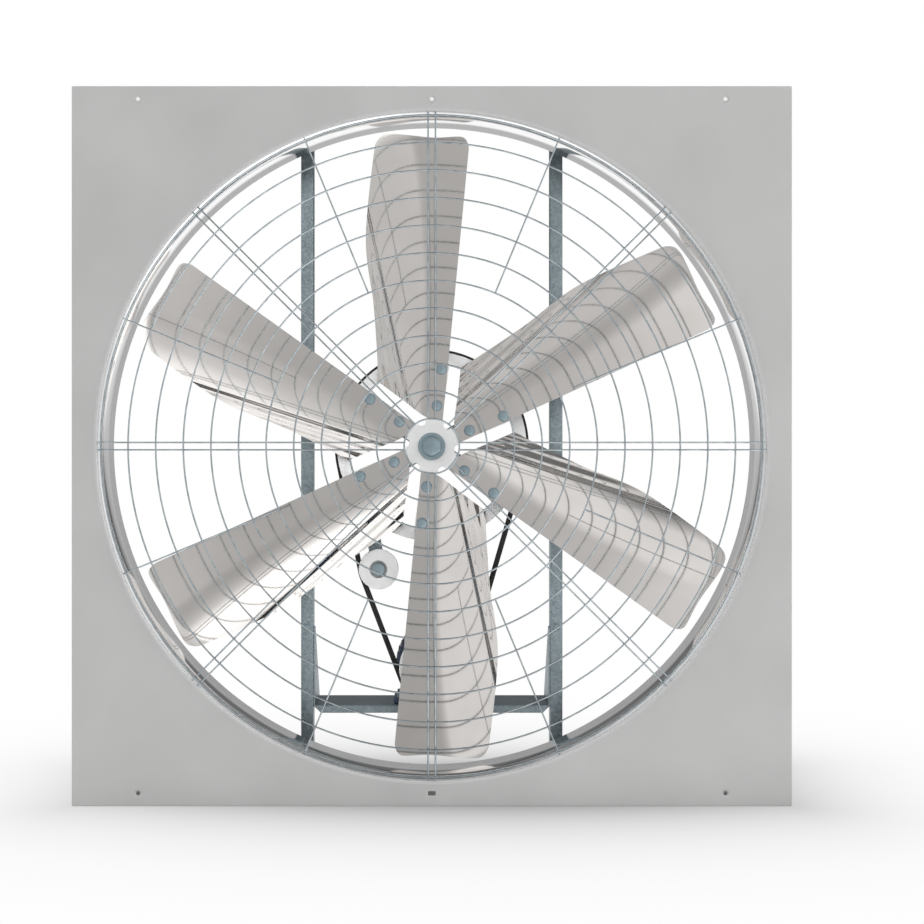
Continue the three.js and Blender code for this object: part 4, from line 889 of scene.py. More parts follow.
# %% [markdown]
# ## Blades
# Each blade is pressed from one stainless sheet: flat along its bolt line, then curving back to a deep
# crease, with a flap behind it. Its outline is four smooth edges. A grid of points blended from these
# edges (a Coons patch) carries the depth formula, so the surface is fair enough to mirror the guard's
# wires in clean curves. Subdividing a coarse mesh would be quicker, but would round the outline.

# %% Corners of a blade's outline
# u runs out along the bolt line and v across it, towards the trailing edge.
hub_radius = 45.0
root_reach = hub_radius + 10
tip_reach = throat_radius - 4
trail_top = 188.0
lead_root = (root_reach, -15.0)
lead_tip = (tip_reach - 15, 1.5)
trail_root = (root_reach + 60, 123.0)
trail_tip = (tip_reach - 33.5, trail_top)
trail_waist = (root_reach + 125, 134.0)
trail_middle = (root_reach + 214, 152.0)
trail_wide = (root_reach + 345, 184.0)
root_bow = (root_reach + 1, 19.0)
root_flare = (root_reach + 31, 72.0)
tip_shoulder = (tip_reach - 9.5, 22.0)
tip_middle = (tip_reach - 18, 76.0)
tip_low = (tip_reach - 20.5, 160.0)
print(f"the blades reach from {root_reach:.0f} to {tip_reach:.0f} mm")

# %% Smooth edges
def through(points, share):
    """A point on the smooth line through some points, at a share of their count."""
    place = (len(points) - 1) * share
    index = min(int(place), len(points) - 2)
    near = [Vector(points[min(max(index + step, 0), len(points) - 1)]) for step in (-1, 0, 1, 2)]
    before, start, end, after = near
    go, stop = (end - before) / 2, (after - start) / 2
    t = place - index
    bend = (2 * start - 2 * end + go + stop) * t**3 + (-3 * start + 3 * end - 2 * go - stop) * t**2
    return bend + go * t + start


class Edge:
    """A smooth line that is read by its length."""

    def __init__(self, *points):
        steps = 200
        self.points = [through(points, step / steps) for step in range(steps + 1)]
        self.lengths = [0.0]
        for one, two in zip(self.points, self.points[1:]):
            self.lengths.append(self.lengths[-1] + (two - one).length)

    def at(self, share):
        goal = share * self.lengths[-1]
        index = next(place for place, length in enumerate(self.lengths[1:]) if length >= goal - 1e-9)
        span = self.lengths[index + 1] - self.lengths[index]
        return self.points[index].lerp(self.points[index + 1], (goal - self.lengths[index]) / span)


lead = Edge(lead_root, lead_tip)
trail = Edge(trail_root, trail_waist, trail_middle, trail_wide, trail_tip)
root = Edge(lead_root, root_bow, root_flare, trail_root)
tip = Edge(lead_tip, tip_shoulder, tip_middle, tip_low, trail_tip)
blade_length = lead.lengths[-1]
print(f"a blade is {blade_length:.0f} mm long and {tip.lengths[-1]:.0f} mm wide at its tip")

# %% Pressed form
pad_depth = 118.0
blade_sheet = 2.0
pad_at_root, pad_growth = 20, 85
bend_radii = (190, 300)
flap_slopes = (0.55, 0.2)
joggle, joggle_width = 6, 8
fold_height, fold_pitch, fold_end, fold_fade = 0.5, 18, 420, 200


def between(value, start, end, low, high):
    return low + (high - low) * (value - start) / (end - start)


def eased_step(share):
    share = min(max(share, 0.0), 1.0)
    return share * share * (3 - 2 * share)


def pressed(u, v):
    """How far the pressed sheet lies behind the flat pad."""
    outwards = max(0.0, (u - root_reach) / (tip_reach - root_reach))
    flat = pad_at_root + pad_growth * outwards**2
    crease = min(65 + 0.35 * (u - trail_root[0]), trail_top)
    bent = max(0.0, min(v, crease) - flat)
    behind = max(0.0, v - crease)
    flap = between(outwards, 0, 1, *flap_slopes) * behind
    wave = fold_height * (1 - cos(2 * pi * behind / fold_pitch))
    fold = eased_step((fold_end - u) / fold_fade) * wave
    bend = bent**2 / (2 * between(outwards, 0, 1, *bend_radii))
    return bend + joggle * eased_step(behind / joggle_width) + flap + fold

# %% From the outline to the two skins
def rounded_corner(along, across, reach):
    """Squares off the grid's outer corners into quarter rounds of a given radius."""
    cell = (reach / blade_length, reach / trail_top)
    s = (along - 1 + cell[0]) / cell[0]
    side = 1 if across > 0.5 else -1
    t = ((across if side > 0 else 1 - across) - 1 + cell[1]) / cell[1]
    if s <= 0 or t <= 0:
        return along, across
    bent_s, bent_t = s * sqrt(1 - t * t / 2), t * sqrt(1 - s * s / 2)
    far = 1 - cell[1] + bent_t * cell[1]
    return 1 - cell[0] + bent_s * cell[0], far if side > 0 else 1 - far


def outline_point(along, across):
    along, across = rounded_corner(along, across, 17)
    sides = lead.at(along).lerp(trail.at(along), across)
    ends = root.at(across).lerp(tip.at(across), along)
    inner = root.at(0).lerp(root.at(1), across)
    outer = tip.at(0).lerp(tip.at(1), across)
    return sides + ends - inner.lerp(outer, along)


def blade_skins(along, across):
    """The front and the rear point of the sheet, and a little of the rounding at its rim."""
    u, v = outline_point(along, across)
    step = 1.0
    slope_u = (pressed(u + step, v) - pressed(u - step, v)) / (2 * step)
    slope_v = (pressed(u, v + step) - pressed(u, v - step)) / (2 * step)
    front = Vector((u, pad_depth + pressed(u, v), v))
    return front, front + Vector((-slope_u, 1, -slope_v)).normalized() * blade_sheet

# %% Grid of a blade
rows, columns = 84, 120
eased = lambda step, count: (1 - cos(pi * step / count)) / 2
shares = [(eased(row, rows), column / columns) for row in range(rows + 1) for column in range(columns + 1)]
skins = [blade_skins(*share) for share in shares]
fronts, rears = [front for front, _ in skins], [rear for _, rear in skins]
at = lambda row, column: row * (columns + 1) + column
blade_faces = []
for row in range(rows):
    for column in range(columns):
        ring = [at(row, column), at(row + 1, column), at(row + 1, column + 1), at(row, column + 1)]
        blade_faces.append(ring)
        blade_faces.append([corner + len(fronts) for corner in reversed(ring)])
rim = [at(row, 0) for row in range(rows)] + [at(rows, column) for column in range(columns)]
rim += [at(rows - row, columns) for row in range(rows)]
rim += [at(0, columns - column) for column in range(columns)]
for here, there in zip(rim, rim[1:] + rim[:1]):
    blade_faces.append((here, here + len(fronts), there + len(fronts), there))
blade = Shape(fronts + rears, blade_faces)
print(len(blade_faces), "faces in a blade")

# %% Six blades with their grain
blade_count = 6
blade_phase = radians(22.8)


def add_grain(piece, angle):
    """A UV map in units of the blade's own length, so the rolled grain runs from root to tip."""
    layer = piece.data.uv_layers.new(name="grain")
    back = Matrix.Rotation(angle, 4, "Y") @ to_frame.inverted()
    for loop in piece.data.loops:
        spot = back @ piece.data.vertices[loop.vertex_index].co
        layer.data[loop.index].uv = (spot.x / 600, spot.z / 600)


blade_angles = [blade_phase + number * 2 * pi / blade_count for number in range(blade_count)]
for number, angle in enumerate(blade_angles):
    name = f"blade_{number + 1}"
    piece = finish_piece(name + "_pressing", blade.swung(angle), "stainless", [name], "fan_rotor", smooth=50)
    add_grain(piece, angle)


# %% [markdown]
# ## Hub and large pulley
# The blades are bolted to the six arms of a cast pulley whose rim carries the belt. The rim, hub and
# shaft are turned from their profiles. An arm is a plate in the plane of the axis with generous round
# edges, as a casting has. Each bolt head is a hexagon cut back by a cone, copied by the tree to its place.

# %% Belt
belt_plane = 184.0
belt_width = 17.0
belt_thickness = 10.0
belt_proud = 5.0
belt_taper = 0.32
print(f"a V-belt {belt_width:.0f} mm wide and {belt_thickness:.0f} mm thick")

# %% Profile of a belt pulley's rim
def grooved(flange, width, inner):
    """The profile of a belt pulley's rim."""
    bottom = flange + belt_proud - belt_thickness - 1.5
    mouth = belt_width / 2 - belt_proud * belt_taper + 0.5
    floor_half = mouth - (flange - bottom) * belt_taper
    near = belt_plane - width / 2
    profile = [(inner, near), (flange, near), (flange, belt_plane - mouth), (bottom, belt_plane - floor_half)]
    return softened(mirrored(profile, belt_plane), 1.0, 3)


# %% Large pulley
pulley_flange = 191.0
pulley_width = 24.0
rim_inner = pulley_flange - 25
hub_front, hub_rear = 112.0, 137.0
shaft_radius = 15.0
arm_front = pad_depth + blade_sheet + seat
pulley_front, pulley_rear = belt_plane - pulley_width / 2, belt_plane + pulley_width / 2
rim = turned(grooved(pulley_flange, pulley_width, rim_inner), sides=192)
hub_profile = [(shaft_radius + seat, hub_front), (hub_radius - 3, hub_front), (hub_radius, hub_front + 3)]
hub_profile += [(hub_radius, hub_rear - 4), (hub_radius - 4, hub_rear), (shaft_radius + seat, hub_rear)]
hub = turned(hub_profile, sides=96, soft=1.0)
arm_outline = [(35, arm_front), (rim_inner, arm_front), (rim_inner + 12, pulley_front + 4)]
arm_outline += [(rim_inner + 12, pulley_rear - 4), (rim_inner - 4, pulley_rear - 4)]
arm_outline += [(rim_inner - 16, arm_front + 32), (35, hub_rear - 4)]
arm = plate(softened(arm_outline, 7, 5), (-14, 14), "top", edge=4, steps=4)
pulley_shape = rim + hub + around(arm, blade_count, blade_phase)
finish_piece("large_pulley", pulley_shape, "alloy", ["drive_pulley"], "fan_rotor", smooth=40)

# %% Hub disc, washer and centre bolt
cap_radius = 52.0
cap_rear = hub_front - seat
cap_front = cap_rear - 5.7
notch = 8.0
centre_bore = 8.3  # of the disc, the washer and the shaft's front end


def notched_disc():
    """A round outline with a round bite at each of six places between the blades."""
    made = []
    bite = 2 * atan2(notch / 2, cap_radius)
    for index in range(6):
        middle = blade_phase + (index + 0.5) * pi / 3
        for step in range(11):
            turn = pi / 2 + step / 10 * pi
            along = cap_radius - notch * sin(turn - pi / 2)
            side = notch * cos(turn - pi / 2)
            made.append((along * cos(middle) + side * sin(middle), along * sin(middle) - side * cos(middle)))
        for step in range(1, 12):
            turn = middle + bite + (pi / 3 - 2 * bite) * step / 12
            made.append((cap_radius * cos(turn), cap_radius * sin(turn)))
    return made


cap = plate(notched_disc(), (cap_front, cap_rear), edge=0.8, holes=[circle(centre_bore, sides=40)])
finish_piece("hub_disc", cap, "disc alloy with painted shade", ["hub_cap"], "fan_rotor")
washer_rear = cap_front - seat
washer_front = washer_rear - 3.6
washer = turned(rectangle((centre_bore, washer_front), (27, washer_rear)), soft=0.9)
finish_piece("centre_washer", washer, "fastener", ["hub_washer"], "fan_rotor")
flange_profile = [(0, -3), (19, -3), (20.5, -1.6), (20.5, 0), (8, 0), (8, 28.5), (7, 30), (0, 30)]
centre_bolt = (turned(flange_profile, sides=64) + hexagon(33, 12, -2.6)).moved(depth=washer_front - seat)
finish_piece("centre_bolt", centre_bolt, "fastener", ["hub_bolt"], "fan_rotor")

# %% Blade bolts
bolt_reaches = (81.0, 154.0)
bolt_head_rear = pad_depth - seat
blade_bolt = hexagon(17, 6.2, bolt_head_rear - 1.2)
collar = [(0, -1.4), (10.4, -1.4), (11, -0.8), (11, 0), (0, 0)]
blade_bolt += turned(collar, sides=32).moved(depth=bolt_head_rear)
blade_bolt += rod(5, (bolt_head_rear - 1, pad_depth + 18), sides=20)
bolt_angles = [angle for angle in blade_angles for _ in bolt_reaches]
bolt_reach_list = bolt_reaches * blade_count
bolt_places = [(r * cos(angle), 0, r * sin(angle)) for r, angle in zip(bolt_reach_list, bolt_angles)]
bolt_nodes = [f"blade_bolt_{n}_{end}" for n in range(1, blade_count + 1) for end in ("inner", "outer")]
fasteners("blade_bolts", blade_bolt, bolt_places, bolt_nodes, "fan_rotor", bolt_angles)

# %% Shaft
shaft_end = 237.0
shoulder = (hub_rear + seat, 151.7)
shaft_profile = [(0, hub_front + 28), (centre_bore, hub_front + 24), (centre_bore, hub_front)]
shaft_profile += [(shaft_radius - 1, hub_front), (shaft_radius, hub_front + 1), (shaft_radius, shoulder[0])]
shaft_profile += [(19, shoulder[0] + 0.6), (19, shoulder[1] - 0.6), (shaft_radius, shoulder[1])]
ring_groove = [(0, 4), (1, 3.6), (1, 2.6), (0, 2.2), (0, 1), (1, 0)]
shaft_profile += [(shaft_radius - step, shaft_end - before) for step, before in ring_groove]
shaft_profile += [(3, shaft_end), (0, shaft_end - 3)]
finish_piece("rotor_shaft", turned(shaft_profile), "bearing", ["fan_shaft"], "fan_rotor")

# %% Bearings
def ball_bearing(outer, bore, front, width, centre=(0, 0)):
    """Two ground races with a recessed seal between them on both faces."""
    race = (outer - bore) * 0.26
    profile = [(bore, 0), (bore + race, 0), (bore + race + 0.4, 0.9)]
    profile += [(outer - race - 0.4, 0.9), (outer - race, 0), (outer, 0)]
    return turned(softened(mirrored(profile, width / 2), 0.4, 2), centre, 72).moved(depth=front)


bearing_outer, bearing_width = 31.0, 16.0
for name, front in (("front", 152.0), ("rear", 216.0)):
    shape = ball_bearing(bearing_outer, shaft_radius + seat, front, bearing_width)
    finish_piece(f"{name}_ball_bearing", shape, "bearing", [f"{name}_bearing"])


# %% [markdown]
# ## Belt drive
# The belt runs round three wheels, all inside its loop. Its path is the straight tangents between the
# wheels and the arcs on them, worked out from their centres, and a V section is carried along it. The
# idler is a flanged roller on a bearing, held by an arm that a spring pulls outwards.

# %% Wheels of the belt
motor_flange = 66.0
motor_drop = 447.7
idler_flange = 40.0
idler_rim = 31.0
idler = (-107.4, -pulley_flange - 17.5 - idler_flange)
belt_run = lambda flange_radius: flange_radius + belt_proud - belt_thickness
wheels = [((0, 0), belt_run(pulley_flange)), (idler, idler_rim + 2 * seat)]
wheels.append(((0, -motor_drop), belt_run(motor_flange)))
print("the belt runs at radii", [round(radius, 1) for _, radius in wheels], "mm")

# %% Tangents and arcs
def run_angle(one, two):
    """Direction of the straight run from one wheel to the next, both on its left."""
    (x0, z0), (x1, z1) = one[0], two[0]
    return atan2(z1 - z0, x1 - x0) + asin((one[1] - two[1]) / hypot(x1 - x0, z1 - z0))


def belt_points():
    made = []
    for index, (centre, radius) in enumerate(wheels):
        first = run_angle(wheels[index - 1], wheels[index]) - pi / 2
        last = run_angle(wheels[index], wheels[(index + 1) % 3]) - pi / 2
        while last < first:
            last += 2 * pi
        steps = max(3, ceil((last - first) / radians(3)))
        for step in range(steps + 1):
            angle = first + (last - first) * step / steps
            made.append((centre, radius, angle))
    return made

# %% V section along the path
section = [(0, -0.5 * belt_width + belt_thickness * belt_taper), (belt_thickness, -0.5 * belt_width)]
section += [(level, -side) for level, side in reversed(section)]
section = softened(section, 1.2, 2)
path = belt_points()
belt_corners = [
    (centre[0] + (radius + level) * cos(angle), belt_plane + side, centre[1] + (radius + level) * sin(angle))
    for centre, radius, angle in path
    for level, side in section
]
ring_size = len(section)
belt_faces = []
for step in range(len(path)):
    belt_faces += ring_faces(step * ring_size, (step + 1) % len(path) * ring_size, ring_size)
belt = Shape(belt_corners, belt_faces)
finish_piece("v_belt", belt, "rubber", ["drive_belt"], smooth=40)

# %% Idler
idler_half = belt_width / 2 + 0.5 + 2
idler_near = belt_plane - idler_half
idler_profile = [(17.8, idler_near), (idler_flange, idler_near), (idler_flange, idler_near + 2)]
idler_profile.append((idler_rim, idler_near + 3))
roller = turned(mirrored(idler_profile, belt_plane), idler, 96, soft=0.8)
idler_centre = to_frame @ Vector((idler[0], 0, idler[1]))
# painted shade: the idler's alloy is darker than the pulley's because the idler stands in more light
finishes["idler alloy with painted shade"] = ("cast_pulley", cast_alloy(idler_centre, level=0.85))
finish_piece("idler_roller", roller, "idler alloy with painted shade", ["idler_pulley"], "idler")
idler_ball = ball_bearing(17.5, 7.8, belt_plane - 6, 12, idler)
finish_piece("idler_ball_bearing", idler_ball, "bearing", ["idler_bearing"], "idler")
pin_profile = [(0, -6), (9, -6), (12.4, -4.4), (13, -3), (13, 0), (7.5, 0), (7.5, 12.6), (11, 12.6)]
pin_profile += [(11, 23.5), (7.5, 23.5), (7.5, 28.3), (0, 28.3)]
idler_pin = turned(pin_profile, idler, 64).moved(depth=belt_plane - 6 - seat)
finish_piece("idler_pin", idler_pin, "fastener", ["idler_bolt"], "tensioner")

# %% [markdown]
# ## Frame behind the rotor
# Two galvanised channels stand behind the rotor. A four-armed carrier between them holds the rotor's
# bearings, and a folded shelf below holds the motor. Channels and folds are plates drawn in the plane
# of their section and pulled out along their length, with the sheet's own thickness and soft bends.

# %% Upright channels
upright_x = 253.5
upright_half = 12.5
upright_front, upright_rear = 205.0, 245.0
upright_wall = 2.5
shelf_end = upright_x - upright_half - seat
carrier_rise = 140.0
lean = atan2(carrier_rise, shelf_end)
pivot_reach = 158.6
pivot = (-pivot_reach * cos(lean), -pivot_reach * sin(lean))
spring_drop = 90.2
spring_z = pivot[1] - spring_drop
inside, floor_depth = upright_half - upright_wall, upright_front + upright_wall
channel = [(-upright_half, upright_front), (upright_half, upright_front), (upright_half, upright_rear)]
channel += [(inside, upright_rear), (inside, floor_depth), (-inside, floor_depth), (-inside, upright_rear)]
channel += [(-upright_half, upright_rear)]
channel_shape = plate(softened(channel, 1.1, 3), (sheet + seat - half, half - sheet - seat), "top", edge=0.3)
post_front = 192.5
spring_up = (spring_z - 7, spring_z + 7)
spring_post = block((-2, 2), (post_front, upright_front + 1), spring_up, edge=0.4)
for side, across in (("left", -upright_x), ("right", upright_x)):
    shape = channel_shape + spring_post if across < 0 else channel_shape
    finish_piece(f"{side}_upright_channel", shape.moved(across), "zinc", [f"{side}_upright"])
shelf_top = -motor_drop - 80
ear_top = shelf_top + 160
upright_bolt = hexagon(10, 5, 0) + rod(3, (-1, 8.5), sides=16)
bolt_spots = [(across, upright_front - seat, ear_top) for across in (-upright_x, upright_x)]
fasteners("upright_bolts", upright_bolt, bolt_spots, ["left_upright_bolt", "right_upright_bolt"])

# %% Motor shelf
shelf_front, shelf_rear = upright_front, 352.0
shelf_sheet = 3.0
foot_x = 64.0
foot_depths = (249.3, 319.3)
slot_centres = [(side * foot_x, depth) for side in (-1, 1) for depth in foot_depths]
shelf_slots = [rounded((x - 5.6, y - 12), (x + 5.6, y + 12), 5.4, 6) for x, y in slot_centres]
top_outline = rectangle((-shelf_end, shelf_front), (shelf_end, shelf_rear))
shelf_under = shelf_top - shelf_sheet
tray = plate(top_outline, (shelf_under, shelf_top), "top", edge=1.0, holes=shelf_slots, steps=3)
lip_drop = 15
lip_outline = [(-shelf_end, shelf_top - 1), (lip_drop - shelf_end, shelf_top - lip_drop)]
lip_outline += [(-across, up) for across, up in reversed(lip_outline)]
for front in (shelf_front, shelf_rear - shelf_sheet):
    tray += plate(softened(lip_outline, 1.0), (front, front + shelf_sheet), edge=0.9, steps=3)
ear = [(shelf_front, shelf_under), (shelf_rear, shelf_under), (shelf_rear, shelf_top + 4)]
ear += [(shelf_front + 20, ear_top), (shelf_front, ear_top)]
for inner in (-shelf_end, shelf_end - shelf_sheet):
    tray += plate(softened(ear, 2.0), (inner, inner + shelf_sheet), "side", edge=0.6)
finish_piece("folded_shelf", tray, "zinc", ["motor_shelf"])

# %% Bearing carrier
carrier_span = (207.0, 237.0)
carrier_rear = carrier_span[1]
arm_half = 15
spread = arm_half / cos(lean)
carrier_arm = [(-arm_half * sin(lean), arm_half * cos(lean)), (arm_half * sin(lean), -arm_half * cos(lean))]
carrier_arm += [(shelf_end, carrier_rise - spread), (shelf_end, carrier_rise + spread)]
foot_half, foot_thick = 28, 4
carrier, heads = Shape([], []), Shape([], [])
for side in (-1, 1):
    foot_face = side * (shelf_end - foot_thick)
    foot_across = sorted((foot_face, side * shelf_end))
    places = []
    for up in (-1, 1):
        carrier += plate([(side * x, up * z) for x, z in carrier_arm], carrier_span, edge=3, steps=4)
        foot_up = (up * carrier_rise - foot_half, up * carrier_rise + foot_half)
        carrier += block(foot_across, carrier_span, foot_up, edge=0.8)
        places += [(foot_face, sum(carrier_span) / 2, up * carrier_rise + rise) for rise in (-22.5, 22.5)]
    faced = hexagon(9, foot_thick, 0).rolled(-side * pi / 2, "Z")
    heads += shape_of(copies(faced, places, "fastener"))
housing_bore = bearing_outer + seat
housing_profile = [(housing_bore, 150), (38, 150), (40, 152), (40, 168), (37.5, 171), (37.5, 200), (40, 204)]
housing_profile += [(40, carrier_rear - 2), (38.5, carrier_rear), (33, carrier_rear)]
housing_profile += [(housing_bore, carrier_rear - 1.6)]
carrier += turned(housing_profile, sides=96, soft=1.2)
carrier += turned(rectangle((6.3, 206.8), (12, 208)), pivot, 48)
nipple_profile = [(0, -2), (3.4, -2), (3.4, 2), (2.2, 3), (1.6, 6), (2.4, 7), (2.4, 8.6), (1.2, 9.6)]
nipple = turned([*nipple_profile, (0, 9.6)], sides=20)
carrier += nipple.rolled(pi / 2, "X").moved(depth=185, up=38)
finish_piece("rotor_carrier", carrier, "zinc", ["hub_carrier"], smooth=40)

finish_piece("carrier_bolts", heads, "fastener")

# %% [markdown]
# ## Tensioner
# A flat arm swings on a pivot bolt in the carrier's lower left arm and carries the idler at its end. A
# coil spring hooked to the left upright keeps it pressed against the belt. The spring is one wire: its
# path is drawn as edges, and a small tree sweeps a round section along it.

# %% Arm and pivot bolt
arm_near, arm_rear = arm_span = (201.5, 206.5)
arm_round = 14.0
arm_lean = atan2(idler[1] - pivot[1], idler[0] - pivot[0])
arm_length = hypot(idler[0] - pivot[0], idler[1] - pivot[1])
arm_outline = []
for centre, start in ((pivot, 0.5), (idler, -0.5)):
    for step in range(21):
        turn = arm_lean + start * pi + step * pi / 20
        arm_outline.append((centre[0] + arm_round * cos(turn), centre[1] + arm_round * sin(turn)))
arm_holes = [circle(6.3, pivot, 32), circle(7.8, idler, 32)]
arm_shape = plate(arm_outline, arm_span, edge=0.8, holes=arm_holes)
rib_start, rib_end = 0.22 * arm_length, 0.74 * arm_length
rib_span = (arm_near - 1.1, arm_near + 0.5)
for offset in (-7.5, 0, 7.5):
    rib = rounded((rib_start, offset - 1.6), (rib_end, offset + 1.6), 1.5)
    arm_shape += plate(rib, rib_span, edge=0.8).swung(arm_lean).moved(pivot[0], 0, pivot[1])
tab_x = between(spring_z, pivot[1], idler[1], pivot[0], idler[0]) - arm_round
arm_shape += block((tab_x - 2, tab_x + 2), (post_front, arm_rear), spring_up, edge=0.5)
arm_shape += block((tab_x, tab_x + 6.5), arm_span, spring_up, edge=0.5)
finish_piece("idler_arm", arm_shape, "zinc", ["tensioner_arm"], "tensioner")
pivot_head = hexagon(18, 7, 0).rolled(pi, "Z")
pivot_shape = pivot_head.moved(depth=carrier_rear + seat) + rod(6, (199.4, carrier_rear + 1), sides=32)
pivot_shape += turned(rectangle((6, 200), (8.6, 201.2)), sides=32)
pivot_shape = pivot_shape.moved(pivot[0], 0, pivot[1])
finish_piece("arm_pivot_bolt", pivot_shape, "fastener", ["pivot_bolt"])

# %% Spring
spring_depth = 199.0
spring_wire = 2.0
coil_radius = 6.0
curls = 8
curl_steps = 24
coil_start, coil_length = -upright_x + upright_half + 12, 44.0


def spring_path():
    ends = []
    for tab, out in ((tab_x, 1), (-upright_x, -1)):
        hook = [(5.6, 4), (5.2, 1.2), (4, 0), (-4, 0)]
        ends.append([(tab + out * past, spring_depth, spring_z + up) for past, up in hook])
    steps = curls * curl_steps
    coil = []
    for step in range(steps + 1):
        turn = step / curl_steps * 2 * pi
        reach = coil_radius * min(1, step / (curl_steps / 2), (steps - step) / (curl_steps / 2))
        along = coil_start + coil_length * (1 - step / steps)
        coil.append((along, spring_depth + reach * sin(turn), spring_z + reach * cos(turn)))
    return ends[0] + coil + ends[1][::-1]
print(f"the coil is {coil_length:.0f} mm long with {curls} curls")

# %% One wire along the path
w, inputs = new_tree("one wire", {"Wire": "Float", "Finish": "Material"})
line = w.node("GeometryNodeMeshToCurve", {"Mesh": inputs.part("Geometry")})
wire_mesh = w.swept(line, inputs.part("Wire"), 12)
wire_tree = close_tree(w, wire_mesh, inputs.part("Finish"))
points = spring_path()
line_mesh = bpy.data.meshes.new("spring path")
line_mesh.from_pydata(points, [(step, step + 1) for step in range(len(points) - 1)], [])
spring = grown(line_mesh, wire_tree, {"Wire": spring_wire, "Finish": finishes["bearing"][1]})
coil_ends = [(along, spring_depth, spring_z) for along in (coil_start, coil_start + coil_length)]
stretch = {"smooth": 60, "across": ("tensioner", *coil_ends)}
finish_piece("arm_spring", spring, "bearing", ["tensioner_spring"], **stretch)

# %% [markdown]
# ## Motor
# A small foot-mounted motor: a finned barrel between two end shields, a fan under a slotted cowl, and a
# terminal box on top. Its fins are one fin copied round the barrel by the tree, and its cowl is a turned
# shell closed by a plate with slots. It is drawn round its own axis and then lowered onto the shelf.

# %% Motor barrel
root_radius = 66.0
frame_front, frame_rear = frame_span = (222.3, 346.3)
frame_middle = sum(frame_span) / 2
barrel = turned(rectangle((38, frame_front), (root_radius, frame_rear)), sides=96, soft=0.6)


def motor_piece(name, shape, finish, node, body="housing", **options):
    """A piece that is drawn round the motor's own axis, lowered to its place."""
    finish_piece(name, shape.moved(up=-motor_drop), finish, [node], body, **options)


fin_foot, fin_tip = root_radius - 1, root_radius + 8
fin_outline = [(fin_foot, -2.6), (fin_tip, -1.5), (fin_tip, 1.5), (fin_foot, 2.6)]
fin = plate(softened(fin_outline, 0.8, 2), frame_span, edge=0.6, steps=1)
fins = 36
fin_angles = [2 * pi * index / fins for index in range(fins)]
barrel += shape_of(copies(fin, [(0, 0, 0)] * fins, "paint", fin_angles))
foot_level = -80 + seat
foot_top = foot_level + 10
foot_inner = 44
foot_span = (231.3, 337.3)
for side in (-1, 1):
    sole = sorted((side * foot_inner, side * (foot_x + 14)))
    web = sorted((side * foot_inner, side * (foot_inner + 10)))
    barrel += block(sole, foot_span, (foot_level, foot_top), edge=1.6, corner=2)
    barrel += block(web, foot_span, (foot_level + 1, -33), edge=1.6, corner=2)
barrel += block((-32, 32), (frame_middle - 29, frame_middle + 29), (46, 76), edge=1.5, corner=2)
motor_piece("motor_barrel", barrel, "paint", "motor_frame")

# %% End shields
shield_radius = 72.0
spindle_radius = 9.5
shaft_bore = spindle_radius + seat
shield_rear = frame_front - seat
shield_profile = [(shaft_bore, 204), (20, 204), (22, 205), (24, 209), (34, 211.5), (56, 211.5), (64, 214)]
shield_profile += [(shield_radius - 1, 218), (shield_radius, shield_rear), (shaft_bore, shield_rear)]
shield = turned(shield_profile, sides=96, soft=1.4)
rib = plate([(21, 204.8), (21, 211), (60, 217.5), (60, 213.5)], (-2, 2), "top", edge=0.8)
shield += around(rib, 8, pi / 4) + around(hexagon(10, 5, 213.6).moved(across=61), 4, pi / 4)
motor_piece("front_end_shield", shield, "paint", "motor_front_shield")
rear_shield = turned(rectangle((shaft_bore, 0), (69.4, 10)), sides=96, soft=0.8)
rear_shield = rear_shield.moved(depth=frame_rear + seat)
motor_piece("rear_end_shield", rear_shield, "paint", "motor_rear_shield")

# %% Fan cowl
cowl_front, cowl_rear = frame_rear + 2 * seat, 396.6
bend_turns = [step / 6 * pi / 2 for step in range(7)]


def cowl_bend(radius, turns):
    return [(64 + radius * cos(turn), cowl_rear - 8 + radius * sin(turn)) for turn in turns]


cowl_profile = [(shield_radius, cowl_front), *cowl_bend(8, bend_turns), *cowl_bend(6, reversed(bend_turns))]
cowl_profile += [(shield_radius - 2, cowl_front)]
slot_outline = rounded((20, -2), (57, 2), 1.9, 3)


def turned_outline(outline, angle):
    return [(x * cos(angle) - z * sin(angle), x * sin(angle) + z * cos(angle)) for x, z in outline]


cowl_slots = [turned_outline(slot_outline, index * pi / 12) for index in range(24)]
cowl = turned(cowl_profile, sides=96)
cowl += plate(circle(64.5, sides=96), (cowl_rear - 2, cowl_rear), edge=0.3, holes=cowl_slots)
motor_piece("fan_cowl", cowl, "paint", "motor_fan_cowl", smooth=40)

# %% Motor fan, shaft and pulley
fan_span = (362.3, 384.6)
fan_hub = turned(rectangle((shaft_bore, fan_span[0]), (15.5, fan_span[1])), soft=0.8)
fan_disc = turned(rectangle((15, fan_span[0]), (46, fan_span[0] + 2.5)), soft=0.5)
vane = block((14, 60), fan_span, (-1.25, 1.25), edge=0.6)
motor_fan = fan_hub + fan_disc + around(vane, 7)
motor_piece("cooling_fan", motor_fan, "plastic", "motor_fan", "motor_rotor")
core = turned(rectangle((spindle_radius, frame_front + 14), (37, frame_rear - 14)), soft=0.8)
motor_shaft = rod(spindle_radius, (171, cowl_rear - 20), edge=1.2) + core
motor_centre = to_frame @ Vector((0, 0, -motor_drop))
finishes["motor alloy"] = ("cast_pulley", cast_alloy(motor_centre))
motor_piece("motor_spindle", motor_shaft, "bearing", "motor_shaft", "motor_rotor")
small_rim = turned(grooved(motor_flange, pulley_width, 48), sides=128)
web_profile = [(shaft_bore, 172), (22, 172), (24, 179), (46, 179), (49, 173), (49, 195), (46, 189)]
web_profile += [(24, 189), (22, 202.8), (shaft_bore, 202.8)]
small_pulley = small_rim + turned(web_profile, sides=96, soft=1.2)
motor_piece("small_pulley", small_pulley, "motor alloy", "motor_pulley", "motor_rotor")

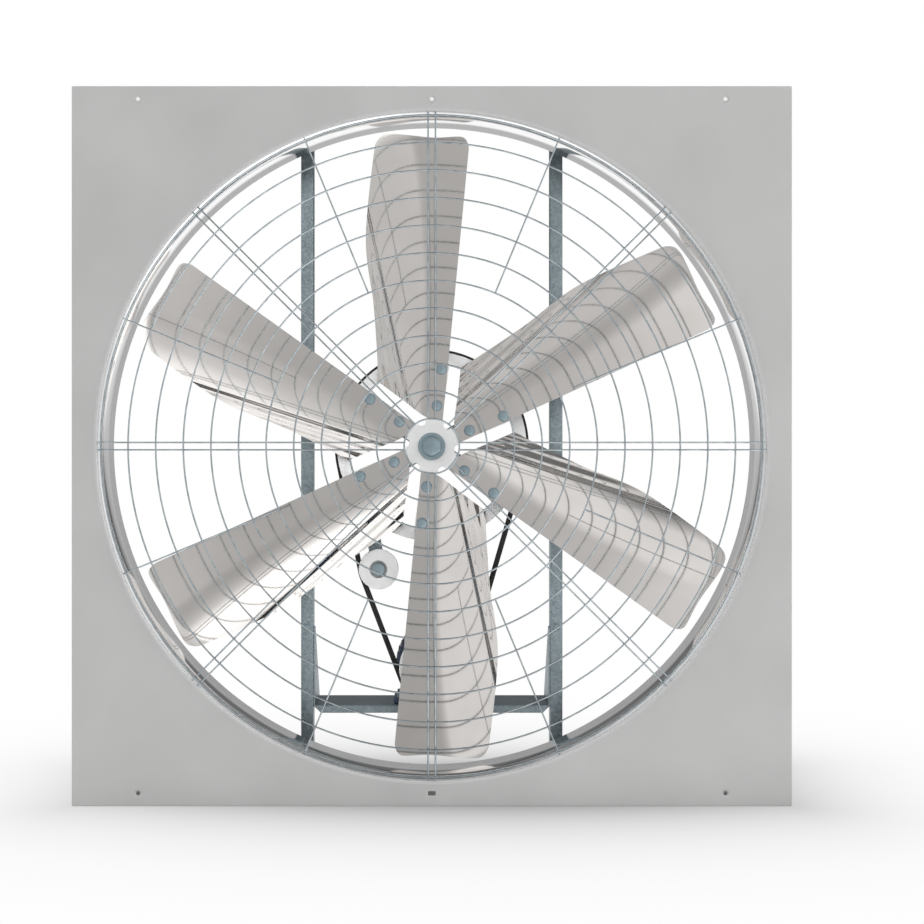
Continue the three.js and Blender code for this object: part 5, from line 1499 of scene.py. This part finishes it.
# %% Terminal box and lid
box_low, box_top, lid_top = 76.3, 112.3, 118.6
box_wall = 3.0


def box_plan(outwards, radius):
    """The box's outline in plan, with its sides moved outwards."""
    across, along = 39 + outwards, 36 + outwards
    return rounded((-across, frame_middle - along), (across, frame_middle + along), radius)


cavity = box_plan(-box_wall, 2)
box_walls = plate(box_plan(0, 4), (box_low, box_top), "top", edge=0.8, holes=[cavity])
box_floor = plate(cavity, (box_low, box_low + box_wall), "top", edge=0.2)
motor_piece("junction_box", box_walls + box_floor, "paint", "terminal_box")
lid = plate(box_plan(1.5, 5), (box_top + seat, lid_top), "top", edge=1.6, steps=3)
lid += plate(inset(box_plan(0, 4), 4), (box_top - 2.8, box_top + 0.7), "top", edge=0.3)
motor_piece("junction_lid", lid, "paint", "terminal_lid")
screw_profile = [(0, -1.2), (1.4, -1.4), (1.6, -2.2), (3.2, -1.9), (4.0, -0.9), (4.0, 0.2), (0, 0.2)]
lid_screw = turned(screw_profile, sides=24).rolled(-pi / 2, "X")
lid_places = [(x, frame_middle + depth, lid_top - motor_drop) for x in (-33, 33) for depth in (-30, 30)]
fasteners("lid_screws", lid_screw, lid_places)

# %% Gland
gland_z = 94.3
gland = hexagon(19.05, 11, 0, crown=0.96)
gland += turned([(5, -24), (7, -24), (8.5, -22), (8.5, -10), (5, -10)], sides=40, soft=0.6)
gland += turned([(5, -1), (7.5, -1), (7.5, 6.3), (5, 6.3)], sides=40)
gland = gland.rolled(pi / 2, "Z").moved(39.3, frame_middle, gland_z - motor_drop)
finish_piece("box_gland", gland, "plastic", ["cable_gland"])

# %% Foot bolts
bolt_seat = foot_top + seat
foot_bolt = hexagon(16, 6, 0) + turned([(0, -0.1), (9, -0.1), (9.6, 0.4), (9.6, 1.2), (0, 1.2)], sides=40)
foot_bolt += rod(5, (0, 23), sides=20) + hexagon(16, 7, 22, crown=0.97)
foot_bolt = foot_bolt.moved(depth=-1.2).rolled(-pi / 2, "X")
foot_places = [(side * foot_x, depth, bolt_seat - motor_drop) for side in (-1, 1) for depth in foot_depths]
foot_nodes = [f"foot_bolt_{side}_{end}" for side in ("left", "right") for end in ("front", "rear")]
fasteners("motor_foot_bolts", foot_bolt, foot_places, foot_nodes)
